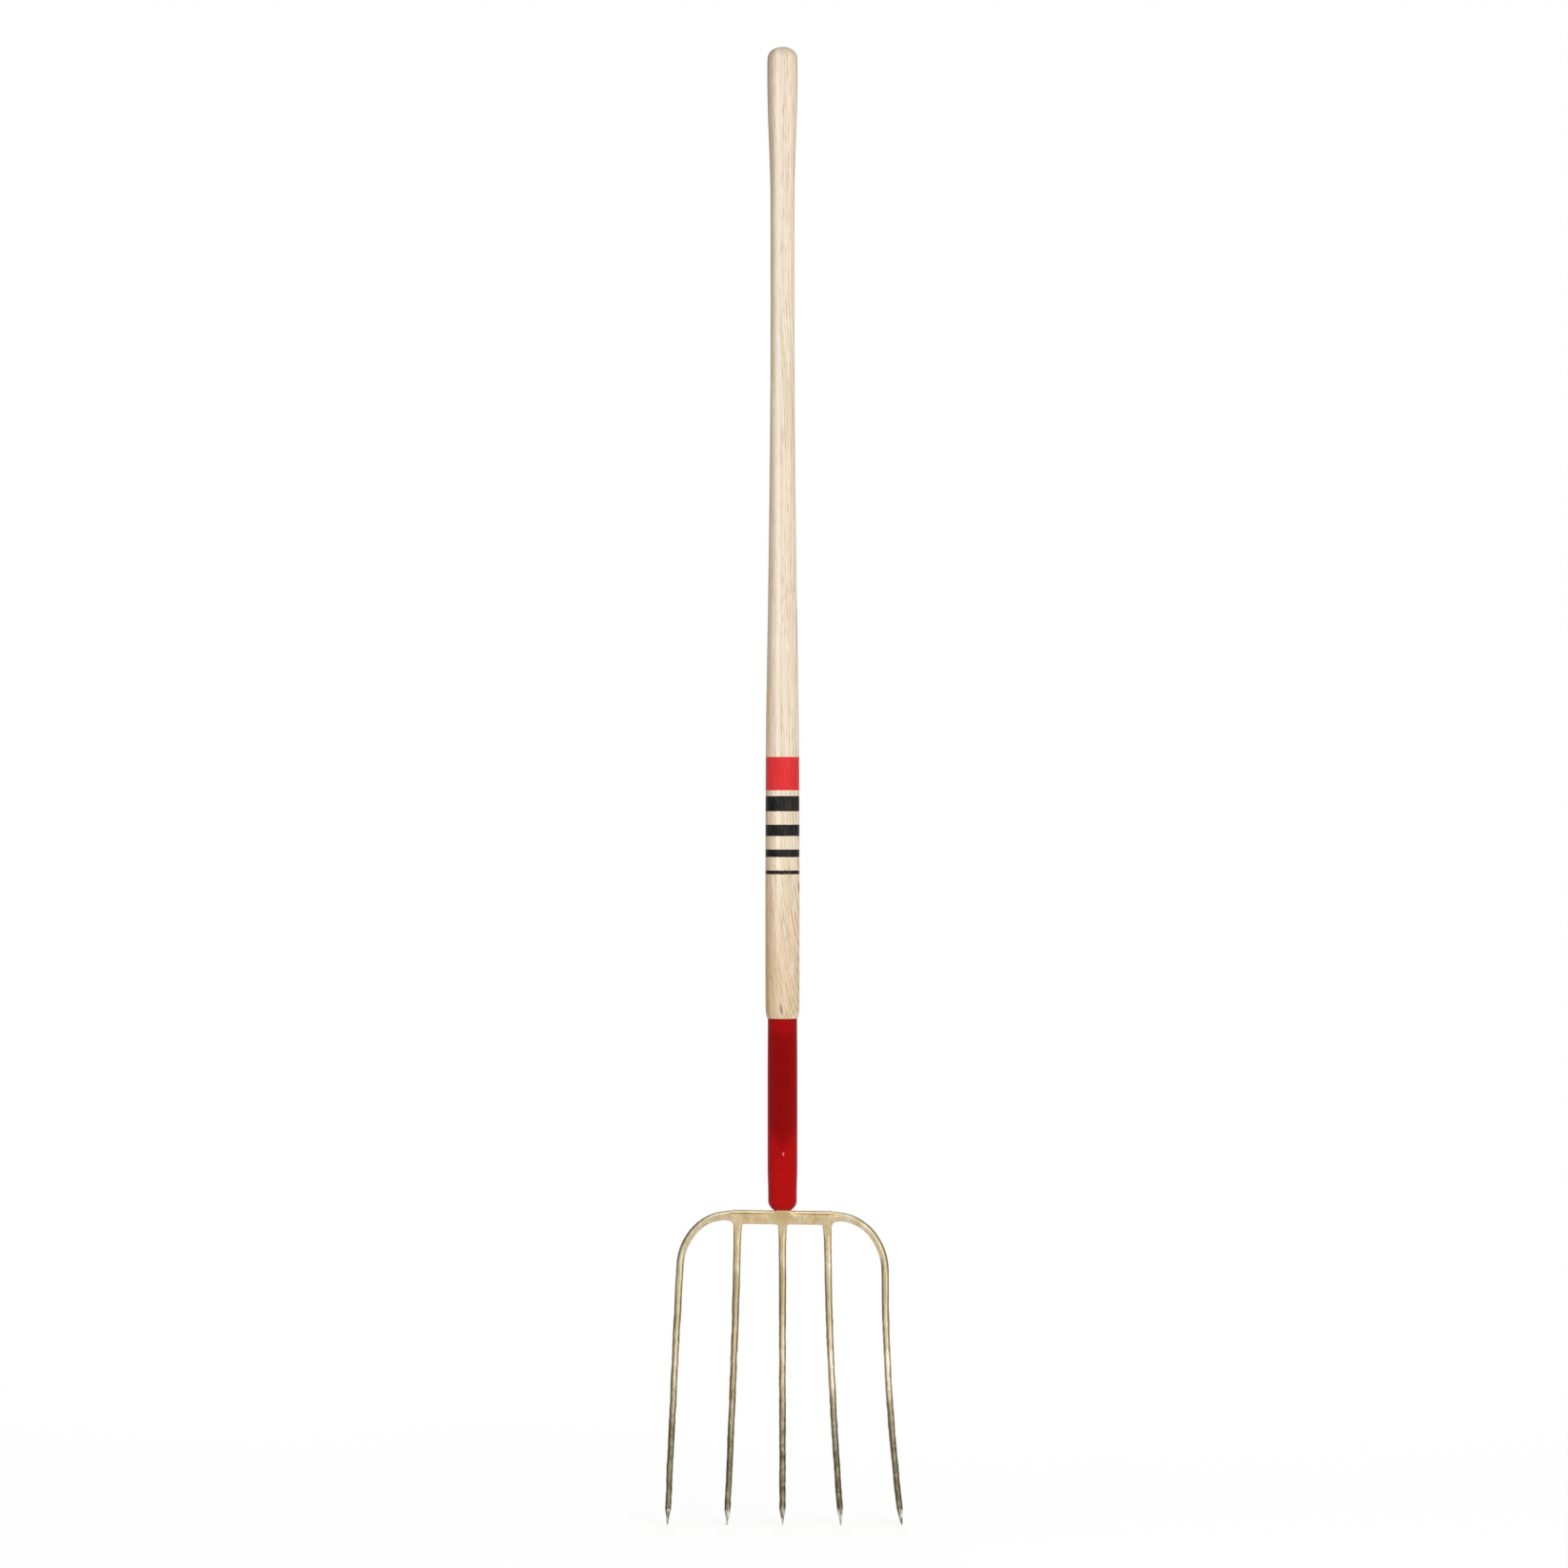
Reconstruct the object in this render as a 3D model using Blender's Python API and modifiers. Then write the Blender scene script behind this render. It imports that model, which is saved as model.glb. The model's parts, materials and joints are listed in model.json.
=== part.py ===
"""Long-handled five-tine manure fork, upright with its tines down.

Metres, +Z up. The concave working side of the tines faces -Y, +X is the right-hand side seen from there.
The origin is on the handle's axis at the grip, the slim waist below the end swell, where a hand or an
open hook holds the fork. The handle hangs straight down from it; the lower part of the ferrule is bent
forward, and the head carries on along that bend.
"""

import math

import bmesh
import bpy
from mathutils import Matrix, Vector

# ---- driving sizes -------------------------------------------------------------------------------

# Ash handle
HANDLE_LENGTH = 1.219
GRIP_BELOW_TOP = 0.2515
END_RADIUS = 0.0160
END_DOME_HEIGHT = 0.0125
END_DOME_START = math.radians(12)
END_SWELL_LENGTH = 0.035
END_TAPER_LENGTH = 0.130
GRIP_RADIUS = 0.0125
GRIP_LENGTH = 0.120
SHANK_RADIUS = 0.0180
SHANK_LENGTH = 0.270
SHANK_TAPER_POWER = 1.6
SHOULDER_LENGTH = 0.007
SHOULDER_STEP = 0.0004
TENON_CORNER_END = math.radians(75)

# Steel ferrule
FERRULE_LENGTH = 0.2010
FERRULE_RADIUS = 0.0157
FERRULE_WALL = 0.0013
FERRULE_CORNER_IN = 0.0070
FERRULE_CORNER_UP = 0.0110
FERRULE_FLOOR_SPACE = 0.0010
BEND_ANGLE = math.radians(3.0)
BEND_RADIUS = 1.146
BEND_TAIL = 0.0600

# Rivet through the ferrule, the handle and the tang
RIVET_RADIUS = 0.0025
RIVET_HEAD_RADIUS = 0.0042
RIVET_HEAD_HEIGHT = 0.0017

# Forged head: crosshead, collar and tang
CROSSHEAD_HEIGHT = 0.0140
CROSSHEAD_DEPTH = 0.0120
CROSSHEAD_EDGE = 0.0020
CROSSHEAD_DROP = 0.0010
COLLAR_RADIUS = 0.0098
COLLAR_FOOT_RADIUS = 0.0048
COLLAR_FILLET = 0.0030
TANG_RADIUS = 0.0062
TANG_TIP_RADIUS = 0.0034
TANG_LENGTH = 0.118

# Tines
TINE_PITCH = 0.0475
TINE_WIDTH = 0.0082
TINE_DEPTH = 0.0104
TINE_ROUNDNESS = 0.75
TINE_END_SHARE = 0.81
TINE_REACH = 0.3254
TINE_DISH = 0.0550
TINE_ROOT_LENGTH = 0.0140
TINE_ROOT_FLARE = 0.0012
TINE_ROOT_FILLET = 0.0045
TINE_POINT_LENGTH = 0.0160
TINE_POINT_SHARE = 0.07
INNER_SPLAY = 0.0119
OUTER_SPLAY = 0.0143
SPLAY_POWER = 1.55
SHOULDER_HALF_WIDTH = 0.1075
SHOULDER_FALL = 0.0560
SHOULDER_START = 0.0600
SHOULDER_CROWN_SHARE = 0.386

# Fits between neighbours
GAP = 0.0003
HOLE_CLEARANCE = 0.0003

# Facets
ROUND_SIDES = 24
TANG_SIDES = 8
TINE_SIDES = 12
RIVET_SIDES = 16
FILLET_STEPS = 4
BEND_STEPS = 4

# ---- sizes that follow ---------------------------------------------------------------------------

HANDLE_BOTTOM = HANDLE_LENGTH - GRIP_BELOW_TOP
FERRULE_BOTTOM = HANDLE_BOTTOM + FERRULE_FLOOR_SPACE + FERRULE_WALL
FERRULE_LIP = FERRULE_BOTTOM - FERRULE_LENGTH
BEND_END = FERRULE_BOTTOM - BEND_TAIL
BEND_START = BEND_END - BEND_RADIUS * BEND_ANGLE
HANDLE_SEAT_RADIUS = FERRULE_RADIUS - FERRULE_WALL - GAP
CROSSHEAD_TOP = -CROSSHEAD_DROP
CROSSHEAD_FLOOR = CROSSHEAD_TOP - CROSSHEAD_HEIGHT
ROOT_END = CROSSHEAD_FLOOR - TINE_ROOT_LENGTH
ROOT_HALF_WIDTH = TINE_WIDTH / 2 + TINE_ROOT_FLARE
CROSSHEAD_HALF_WIDTH = TINE_PITCH + ROOT_HALF_WIDTH


def spine(down):
    """The handle's centre line, a distance down from the grip: its point and its slope from vertical."""
    if down <= BEND_START:
        return Vector((0, 0, -down)), 0.0
    angle = min(down - BEND_START, BEND_END - BEND_START) / BEND_RADIUS
    point = Vector((0, -BEND_RADIUS * (1 - math.cos(angle)), -BEND_START - BEND_RADIUS * math.sin(angle)))
    past = max(down - BEND_END, 0)
    return point + past * Vector((0, -math.sin(angle), -math.cos(angle))), angle


def steps(start, end, count):
    """Evenly spaced values from start to end, both included."""
    return [start + (end - start) * i / count for i in range(count + 1)]


def ease(share):
    return share * share * (3 - 2 * share)


# ---- Blender helpers -----------------------------------------------------------------------------


def clear_scene():
    for obj in list(bpy.data.objects):
        bpy.data.objects.remove(obj)


def collection(name):
    made = bpy.data.collections.new(name)
    bpy.context.scene.collection.children.link(made)
    return made


def finish(name, colour, roughness, metallic):
    """A plain Principled material."""
    made = bpy.data.materials.new(name)
    made.use_nodes = True
    shader = made.node_tree.nodes["Principled BSDF"]
    shader.inputs["Base Color"].default_value = (*colour, 1)
    shader.inputs["Roughness"].default_value = roughness
    shader.inputs["Metallic"].default_value = metallic
    return made


def round_bar(name, points, sides):
    """A solid round bar as a mesh, through (point, radius) pairs, with flat ends."""
    curve = bpy.data.curves.new(name, "CURVE")
    curve.dimensions = "3D"
    curve.bevel_depth = 1.0
    curve.bevel_resolution = (sides - 4) // 2
    curve.use_fill_caps = True
    spline = curve.splines.new("POLY")
    spline.points.add(len(points) - 1)
    for target, (point, radius) in zip(spline.points, points):
        target.co = (*point, 1)
        target.radius = radius
    return mesh_from_curve(name, curve)


def mesh_from_curve(name, curve):
    """The curve as a mesh object with its caps welded on."""
    holder = bpy.data.objects.new(name + "_curve", curve)
    bpy.context.scene.collection.objects.link(holder)
    bpy.context.view_layer.update()
    mesh = bpy.data.meshes.new_from_object(holder.evaluated_get(bpy.context.evaluated_depsgraph_get()))
    bpy.data.objects.remove(holder)
    welded = bmesh.new()
    welded.from_mesh(mesh)
    bmesh.ops.remove_doubles(welded, verts=welded.verts, dist=0.00001)
    bmesh.ops.recalc_face_normals(welded, faces=welded.faces)
    welded.to_mesh(mesh)
    welded.free()
    return bpy.data.objects.new(name, mesh)


def cylinder(name, radius, length, sides):
    """A cylinder along its own Y axis, centred on its origin."""
    mesh = bpy.data.meshes.new(name)
    shape = bmesh.new()
    bmesh.ops.create_cone(
        shape, cap_ends=True, segments=sides, radius1=radius, radius2=radius, depth=length,
        matrix=Matrix.Rotation(math.pi / 2, 4, "X"),
    )
    shape.to_mesh(mesh)
    shape.free()
    return bpy.data.objects.new(name, mesh)


def boolean(obj, other, operation):
    modifier = obj.modifiers.new(operation.lower() + "_" + other.name, "BOOLEAN")
    modifier.operation = operation
    modifier.object = other


def place(obj, group, material):
    """Puts a finished piece in the fork, shaded smooth between its sharp edges."""
    obj.data.materials.clear()
    obj.data.materials.append(material)
    obj.data.shade_smooth()
    obj.data.set_sharp_from_angle(angle=math.radians(40))
    group.objects.link(obj)


def helper(obj, group):
    obj.hide_render = True
    obj.display_type = "WIRE"
    group.objects.link(obj)
    return obj


# ---- handle --------------------------------------------------------------------------------------


def handle_points():
    """(distance below the handle's top, radius) down the whole handle."""
    dome = [
        (END_DOME_HEIGHT * (1 - math.cos(a)), END_RADIUS * math.sin(a))
        for a in steps(END_DOME_START, math.radians(90), 5)
    ]
    taper_start = END_SWELL_LENGTH
    grip_start = taper_start + END_TAPER_LENGTH
    grip_end = grip_start + GRIP_LENGTH
    lip = FERRULE_LIP + GRIP_BELOW_TOP
    shoulder = lip - SHOULDER_LENGTH
    shank_start = shoulder - SHANK_LENGTH
    taper = [
        (taper_start + END_TAPER_LENGTH * t, END_RADIUS + (GRIP_RADIUS - END_RADIUS) * ease(t))
        for t in steps(0, 1, 5)
    ]
    flare = [
        (grip_end + (shank_start - grip_end) * t,
         GRIP_RADIUS + (SHANK_RADIUS - GRIP_RADIUS) * t**SHANK_TAPER_POWER)
        for t in steps(0, 1, 6)
    ]
    seat = lip - GAP
    tail = [(seat, FERRULE_RADIUS + SHOULDER_STEP), (seat + GAP / 2, HANDLE_SEAT_RADIUS)]
    bend = [(down + GRIP_BELOW_TOP, HANDLE_SEAT_RADIUS) for down in steps(BEND_START, BEND_END, BEND_STEPS)]
    corner_top = HANDLE_LENGTH - FERRULE_CORNER_UP
    corner = [
        (corner_top + FERRULE_CORNER_UP * math.sin(a),
         HANDLE_SEAT_RADIUS - FERRULE_CORNER_IN * (1 - math.cos(a)))
        for a in steps(0, TENON_CORNER_END, 3)
    ]
    return dome + taper + flare + [(shoulder, SHANK_RADIUS)] + tail + bend + corner


def make_handle():
    points = [(spine(below - GRIP_BELOW_TOP)[0], radius) for below, radius in handle_points()]
    return round_bar("handle", points, ROUND_SIDES)


# ---- ferrule -------------------------------------------------------------------------------------


def ferrule_points(radius, top, bottom):
    """(point, radius) down a ferrule-shaped plug that ends in the rounded lower corner."""
    corner_top = bottom - FERRULE_CORNER_UP
    corner = [
        (corner_top + FERRULE_CORNER_UP * math.sin(a), radius - FERRULE_CORNER_IN * (1 - math.cos(a)))
        for a in steps(0, math.radians(90), 5)
    ]
    downs = [(top, radius)] + [(down, radius) for down in steps(BEND_START, BEND_END, BEND_STEPS)] + corner
    return [(spine(down)[0], r) for down, r in downs]


def make_ferrule(cutters):
    """A tube with its lower end drawn in round the collar, and a floor with a hole for the tang."""
    shell = round_bar("ferrule", ferrule_points(FERRULE_RADIUS, FERRULE_LIP, FERRULE_BOTTOM), ROUND_SIDES)
    inside = ferrule_points(
        FERRULE_RADIUS - FERRULE_WALL, FERRULE_LIP - 4 * FERRULE_WALL, FERRULE_BOTTOM - FERRULE_WALL
    )
    boolean(shell, helper(round_bar("ferrule_inside", inside, ROUND_SIDES), cutters), "DIFFERENCE")
    boolean(shell, helper(tang_bar("ferrule_mouth", HOLE_CLEARANCE), cutters), "DIFFERENCE")
    return shell


# ---- rivet ---------------------------------------------------------------------------------------


def rivet_frame():
    """Where the rivet sits: on the centre line at the end of the bend, square to the ferrule."""
    point, angle = spine(BEND_END)
    return Matrix.Translation(point) @ Matrix.Rotation(-angle, 4, "X")


def make_rivet():
    """A pin with a domed head at each end, turned about its axis."""
    half = FERRULE_RADIUS + GAP
    dome = [
        (RIVET_HEAD_RADIUS * math.cos(a), half + RIVET_HEAD_HEIGHT * math.sin(a))
        for a in steps(0, math.radians(90), 4)
    ]
    # Top to bottom down the outer side, as a Screw at +X wants it.
    upper = dome[::-1] + [(RIVET_RADIUS, half)]
    profile = upper + [(r, -z) for r, z in reversed(upper)]
    mesh = bpy.data.meshes.new("ferrule_rivet")
    edges = [(i, i + 1) for i in range(len(profile) - 1)]
    mesh.from_pydata([(max(r, 0.0), 0, z) for r, z in profile], edges, [])
    rivet = bpy.data.objects.new("ferrule_rivet", mesh)
    screw = rivet.modifiers.new("turn", "SCREW")
    screw.steps = screw.render_steps = RIVET_SIDES
    screw.use_merge_vertices = True
    screw.merge_threshold = 0.00001
    screw.use_smooth_shade = True
    rivet.matrix_world = rivet_frame() @ Matrix.Rotation(math.pi / 2, 4, "X")
    return rivet


def rivet_cutter(name, cutters):
    length = 2 * FERRULE_RADIUS + 4 * RIVET_HEAD_HEIGHT
    cutter = cylinder(name, RIVET_RADIUS + HOLE_CLEARANCE, length, RIVET_SIDES)
    cutter.matrix_world = rivet_frame()
    return helper(cutter, cutters)


# ---- head ----------------------------------------------------------------------------------------


def tang_bar(name, clearance):
    """The tapered tang, which follows the bend up inside the handle, or the hole for it."""
    start = FERRULE_BOTTOM + CROSSHEAD_DROP + CROSSHEAD_HEIGHT / 2
    points = []
    for share in steps(0, 1, 7):
        down = start + (FERRULE_BOTTOM - TANG_LENGTH - start) * share
        radius = TANG_RADIUS + (TANG_TIP_RADIUS - TANG_RADIUS) * share
        points.append((spine(down)[0], radius + clearance))
    if clearance:
        points.append((spine(FERRULE_BOTTOM - TANG_LENGTH - clearance)[0], points[-1][1]))
    return round_bar(name, points, TANG_SIDES)


def arc(centre, radius, start, end):
    """Points round a fillet, with its angles in degrees."""
    angles = [math.radians(a) for a in steps(start, end, FILLET_STEPS)]
    return [(centre[0] + radius * math.cos(a), centre[1] + radius * math.sin(a)) for a in angles]


def crosshead_outline():
    """The right half of the crosshead seen from the front, from the collar round to the middle root.

    The collar's fillet fills half of the drop between the ferrule and the crosshead.
    """
    swing = math.degrees(math.acos(1 - CROSSHEAD_DROP / 2 / COLLAR_FILLET))
    collar_centre = (COLLAR_RADIUS + COLLAR_FILLET, CROSSHEAD_TOP + COLLAR_FILLET)
    collar = arc(collar_centre, COLLAR_FILLET, 270 - swing, 270)
    fillet = TINE_ROOT_FILLET
    inner_edge = TINE_PITCH - ROOT_HALF_WIDTH
    near = arc((inner_edge - fillet, CROSSHEAD_FLOOR - fillet), fillet, 0, 90)
    middle = arc((ROOT_HALF_WIDTH + fillet, CROSSHEAD_FLOOR - fillet), fillet, 90, 180)
    half = TINE_WIDTH / 2
    return [
        *collar,
        (CROSSHEAD_HALF_WIDTH, CROSSHEAD_TOP),
        (CROSSHEAD_HALF_WIDTH, CROSSHEAD_FLOOR - fillet),
        (TINE_PITCH + half, ROOT_END),
        (TINE_PITCH - half, ROOT_END),
        *near,
        *middle,
        (half, ROOT_END),
    ]


def flat_plate(name, outline, depth):
    """A plate standing in the XZ plane, from its outline as (x, z) points."""
    curve = bpy.data.curves.new(name, "CURVE")
    curve.dimensions = "2D"
    curve.fill_mode = "BOTH"
    curve.extrude = depth / 2
    spline = curve.splines.new("POLY")
    spline.points.add(len(outline) - 1)
    spline.use_cyclic_u = True
    for target, (x, z) in zip(spline.points, outline):
        target.co = (x, z, 0, 1)
    plate = mesh_from_curve(name, curve)
    flat = bmesh.new()
    flat.from_mesh(plate.data)
    bmesh.ops.dissolve_limit(flat, angle_limit=math.radians(1), verts=flat.verts, edges=flat.edges)
    flat.to_mesh(plate.data)
    flat.free()
    plate.data.transform(Matrix.Rotation(math.pi / 2, 4, "X"))
    return plate


def make_crosshead(head, cutters):
    """Crosshead with the roots of the three inner tines, and the collar and tang that join the handle."""
    right = crosshead_outline()
    outline = right + [(-x, z) for x, z in reversed(right)]
    plate = flat_plate("crosshead", outline, CROSSHEAD_DEPTH)
    bevel = plate.modifiers.new("forged_edges", "BEVEL")
    bevel.width = CROSSHEAD_EDGE
    bevel.segments = 2
    bevel.limit_method = "ANGLE"
    bevel.angle_limit = math.radians(60)
    plate.parent = head
    collar_depth = CROSSHEAD_DROP + CROSSHEAD_HEIGHT / 2
    collar_top, _ = spine(FERRULE_BOTTOM + GAP)
    collar_foot, _ = spine(FERRULE_BOTTOM + collar_depth)
    collar_points = [(collar_top, COLLAR_RADIUS), (collar_foot, COLLAR_FOOT_RADIUS)]
    boolean(plate, helper(round_bar("collar", collar_points, ROUND_SIDES), cutters), "UNION")
    boolean(plate, helper(tang_bar("tang", 0), cutters), "UNION")
    return plate


# ---- tines ---------------------------------------------------------------------------------------


def tine_section(cutters):
    """The guide that gives a tine its rounded oblong section, one width across."""
    curve = bpy.data.curves.new("tine_section", "CURVE")
    curve.dimensions = "2D"
    spline = curve.splines.new("POLY")
    spline.points.add(TINE_SIDES - 1)
    spline.use_cyclic_u = True
    for i, target in enumerate(spline.points):
        angle = math.tau * (i + 0.5) / TINE_SIDES
        along = [math.copysign(abs(c) ** TINE_ROUNDNESS, c) for c in (math.cos(angle), math.sin(angle))]
        target.co = (along[0] * TINE_WIDTH / 2, along[1] * TINE_DEPTH / 2, 0, 1)
    return helper(bpy.data.objects.new("tine_section", curve), cutters)


def taper(below):
    """A tine's size a distance below the ferrule, as a share of its size at the root."""
    root, point = -ROOT_END, TINE_REACH - TINE_POINT_LENGTH
    if below <= point:
        return 1 + (TINE_END_SHARE - 1) * max(below - root, 0) / (point - root)
    share = (below - point) / TINE_POINT_LENGTH
    return TINE_END_SHARE + (TINE_POINT_SHARE - TINE_END_SHARE) * share


def falls(start):
    """Distances below the ferrule, down a tine from its start to its point."""
    point = TINE_REACH - TINE_POINT_LENGTH
    return steps(start, point, 10) + steps(point, TINE_REACH, 2)[1:]


def splayed(x, splay, start):
    """(x, z, size) down a tine that leaves x straight down and spreads outwards as it goes."""
    points = []
    for below in falls(start):
        share = (below - start) / (TINE_REACH - start)
        points.append((x + splay * share**SPLAY_POWER, -below, taper(below)))
    return points


def shoulder():
    """(x, z, size) from the crosshead's end out along the bow to where the outer tine points down."""
    level = -CROSSHEAD_DROP - SHOULDER_CROWN_SHARE * CROSSHEAD_HEIGHT
    across = SHOULDER_HALF_WIDTH - SHOULDER_START
    bow = [
        (SHOULDER_START + across * math.sin(a), level - SHOULDER_FALL * (1 - math.cos(a)), 1.0)
        for a in steps(0, math.radians(90), 9)
    ]
    return [(CROSSHEAD_HALF_WIDTH + GAP, level, 1.0)] + bow


def make_tine(name, points, section, head, side=1):
    """Sweeps the section along (x, z, size) points in the head's plane, then dishes it forward."""
    curve = bpy.data.curves.new(name, "CURVE")
    curve.dimensions = "2D"
    curve.bevel_mode = "OBJECT"
    curve.bevel_object = section
    curve.use_fill_caps = True
    spline = curve.splines.new("POLY")
    spline.points.add(len(points) - 1)
    for target, (x, z, size) in zip(spline.points, points):
        target.co = (side * x, z, 0, 1)
        target.radius = size
    tine = mesh_from_curve(name, curve)
    tine.data.transform(Matrix.Rotation(math.pi / 2, 4, "X"))
    for vertex in tine.data.vertices:
        vertex.co.y -= TINE_DISH * (vertex.co.z / TINE_REACH) ** 2
    tine.parent = head
    return tine


def make_tines(head, cutters):
    section = tine_section(cutters)
    root = -ROOT_END + GAP
    bow = shoulder()
    outer = bow + splayed(SHOULDER_HALF_WIDTH, OUTER_SPLAY, -bow[-1][1])[1:]
    inner = splayed(TINE_PITCH, INNER_SPLAY, root)
    tines = [make_tine("centre_tine", splayed(0, 0, root), section, head)]
    for side, word in ((-1, "left"), (1, "right")):
        tines.append(make_tine(word + "_inner_tine", inner, section, head, side))
        tines.append(make_tine(word + "_outer_tine", outer, section, head, side))
    return tines


# ---- the fork ------------------------------------------------------------------------------------


def build():
    clear_scene()
    fork = collection("manure_fork")
    cutters = collection("cutters")

    ash = finish("ash", (0.80, 0.66, 0.47), 0.45, 0.0)
    red_paint = finish("red_paint", (0.42, 0.008, 0.008), 0.30, 0.0)
    lacquered_steel = finish("lacquered_steel", (0.60, 0.47, 0.25), 0.32, 1.0)

    head = bpy.data.objects.new("head_frame", None)
    head.location, slope = spine(FERRULE_BOTTOM)
    head.rotation_euler = (-slope, 0, 0)
    fork.objects.link(head)

    handle = make_handle()
    boolean(handle, helper(tang_bar("tang_bore", HOLE_CLEARANCE), cutters), "DIFFERENCE")
    ferrule = make_ferrule(cutters)
    crosshead = make_crosshead(head, cutters)
    for piece in (handle, ferrule, crosshead):
        boolean(piece, rivet_cutter(piece.name + "_rivet_hole", cutters), "DIFFERENCE")

    place(handle, fork, ash)
    place(ferrule, fork, red_paint)
    place(make_rivet(), fork, red_paint)
    place(crosshead, fork, lacquered_steel)
    for tine in make_tines(head, cutters):
        place(tine, fork, lacquered_steel)


build()
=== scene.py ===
"""The visual model of a long-handled five-tine manure fork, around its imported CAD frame.

Metres, +Z up. The hollow working side of the tines faces -Y, +X is to the right as seen from there, and the
origin lies on the handle's axis at the grip. The head is described in a frame of its own, at the ferrule's
bottom: x to the right, y to the back, and z up along the bent end of the ferrule.
"""

import json
import math

import bmesh
import bpy
from mathutils import Matrix, Vector, noise


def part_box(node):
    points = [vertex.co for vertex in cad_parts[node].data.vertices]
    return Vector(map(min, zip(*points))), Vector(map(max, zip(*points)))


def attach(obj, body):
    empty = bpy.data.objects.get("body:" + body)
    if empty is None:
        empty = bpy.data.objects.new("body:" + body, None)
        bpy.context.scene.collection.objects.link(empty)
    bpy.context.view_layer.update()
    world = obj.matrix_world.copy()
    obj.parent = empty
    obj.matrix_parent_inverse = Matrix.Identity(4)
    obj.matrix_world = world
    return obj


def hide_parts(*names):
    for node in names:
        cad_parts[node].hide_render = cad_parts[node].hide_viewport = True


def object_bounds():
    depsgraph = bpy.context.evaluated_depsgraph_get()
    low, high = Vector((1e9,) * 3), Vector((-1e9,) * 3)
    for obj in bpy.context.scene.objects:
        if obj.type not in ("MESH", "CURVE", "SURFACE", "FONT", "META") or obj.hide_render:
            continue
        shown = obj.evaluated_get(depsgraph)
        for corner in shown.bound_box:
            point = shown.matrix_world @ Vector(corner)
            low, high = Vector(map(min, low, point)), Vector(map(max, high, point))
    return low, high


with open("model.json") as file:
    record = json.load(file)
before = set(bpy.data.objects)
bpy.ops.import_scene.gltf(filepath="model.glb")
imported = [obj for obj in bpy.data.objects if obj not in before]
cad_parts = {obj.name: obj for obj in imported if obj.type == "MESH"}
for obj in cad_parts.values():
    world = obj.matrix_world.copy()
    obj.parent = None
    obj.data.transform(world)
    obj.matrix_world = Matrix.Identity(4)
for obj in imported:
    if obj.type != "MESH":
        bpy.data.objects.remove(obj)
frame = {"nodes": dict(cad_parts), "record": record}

CAD_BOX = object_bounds()
POINTS, TOP = CAD_BOX[0].z, CAD_BOX[1].z

# ---- sizes, in metres ----------------------------------------------------------------------------

MM = 0.001
TOLERANCE = 0.01 * MM

# The ferrule is drawn from tube and then bent. Its lip is drawn in over a taper, and so is its neck, above
# the lower corner that is swaged in round the head's collar.
FERRULE_WALL = 0.0013
FERRULE_SIDES = 72
FERRULE_FLOOR_SPACE = 0.0010
CORNER_IN = 0.0063
CORNER_UP = 0.0110
CORNER_POWER = 2.6
CORNER_ROUND = 0.0003
LIP_ROUND = 0.0004
LIP_DRAWN_IN = 0.00025
LIP_TAPER = 0.054
NECK_DRAWN_IN = 0.0006
NECK_UP = 0.045
NECK_TAPER = 0.027
FIT_GAP = 0.0003
DENT_DEPTH = 0.00025
DENT_SPREAD = 0.0070

# The handle is turned from a square of ash. Subdivision draws its cage in, and the swell makes up for that.
CAGE_SIDES = 16
CAGE_SWELL = 3 / (2 + math.cos(math.tau / CAGE_SIDES))
TENON_CORNER_UP = 0.0110
TENON_CORNER_IN = 0.0062
TENON_END_ROUND = 0.0020
# Above the ferrule's lip the wood is rounded over: height above the lip, and radius.
SHOULDER = [
    (0.0190, 0.01790), (0.0110, 0.01775), (0.0065, 0.01745), (0.0035, 0.01690), (0.0015, 0.01625),
    (0.0003, 0.01600), (0.0001, 0.01560),
]

# The rivet is a pin whose ends were peened over.
RIVET_SIDES = 24
RIVET_RADIUS = 0.0025
RIVET_HEAD_RADIUS = 0.0040
RIVET_HEAD_HEIGHT = 0.0013
RIVET_RIM_IN = 0.0003
RIVET_RIM_SINK = 0.0001

# The head is one forging. The crosshead is a bar, and the collar and the tang stand on it.
SEAT_DROP = 0.0010
CROSSHEAD_DROP = 0.0001
CROSSHEAD_HEIGHT = 0.0149
CROSSHEAD_DEPTH = 0.0120
TOP_EDGE_IN = 0.86
TOP_EDGE_DOWN = 0.0013
TOP_LINE_DOWN = 0.0006
FLOOR_EDGE_IN = 0.90
FLOOR_EDGE_UP = 0.0008
COLLAR_HALF_WIDTH = 0.0098
COLLAR_FOOT = 0.0135
# Just under the ferrule the collar steps in to the tang: level, half width, half depth and roundness.
COLLAR_STEPS = [(-0.00005, 0.0083, 0.0080, 0.8), (-0.00002, 0.0073, 0.0070, 0.9)]
TANG_RADIUS = 0.0060
TANG_TIP_RADIUS = 0.0034
TANG_LENGTH = 0.118

# A section has two lines along it beside each edge: how far out they lie, on the bar, on a flat section and
# on a round one, as shares of its half size. Subdivision draws a round section in, and the swell makes up
# for that.
BAR_LINE = 0.36
FLAT_LINE = 0.56
ROUND_LINE = 0.38
AT_EDGE = 0.60
SECTION_SWELL = 0.045

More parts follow.
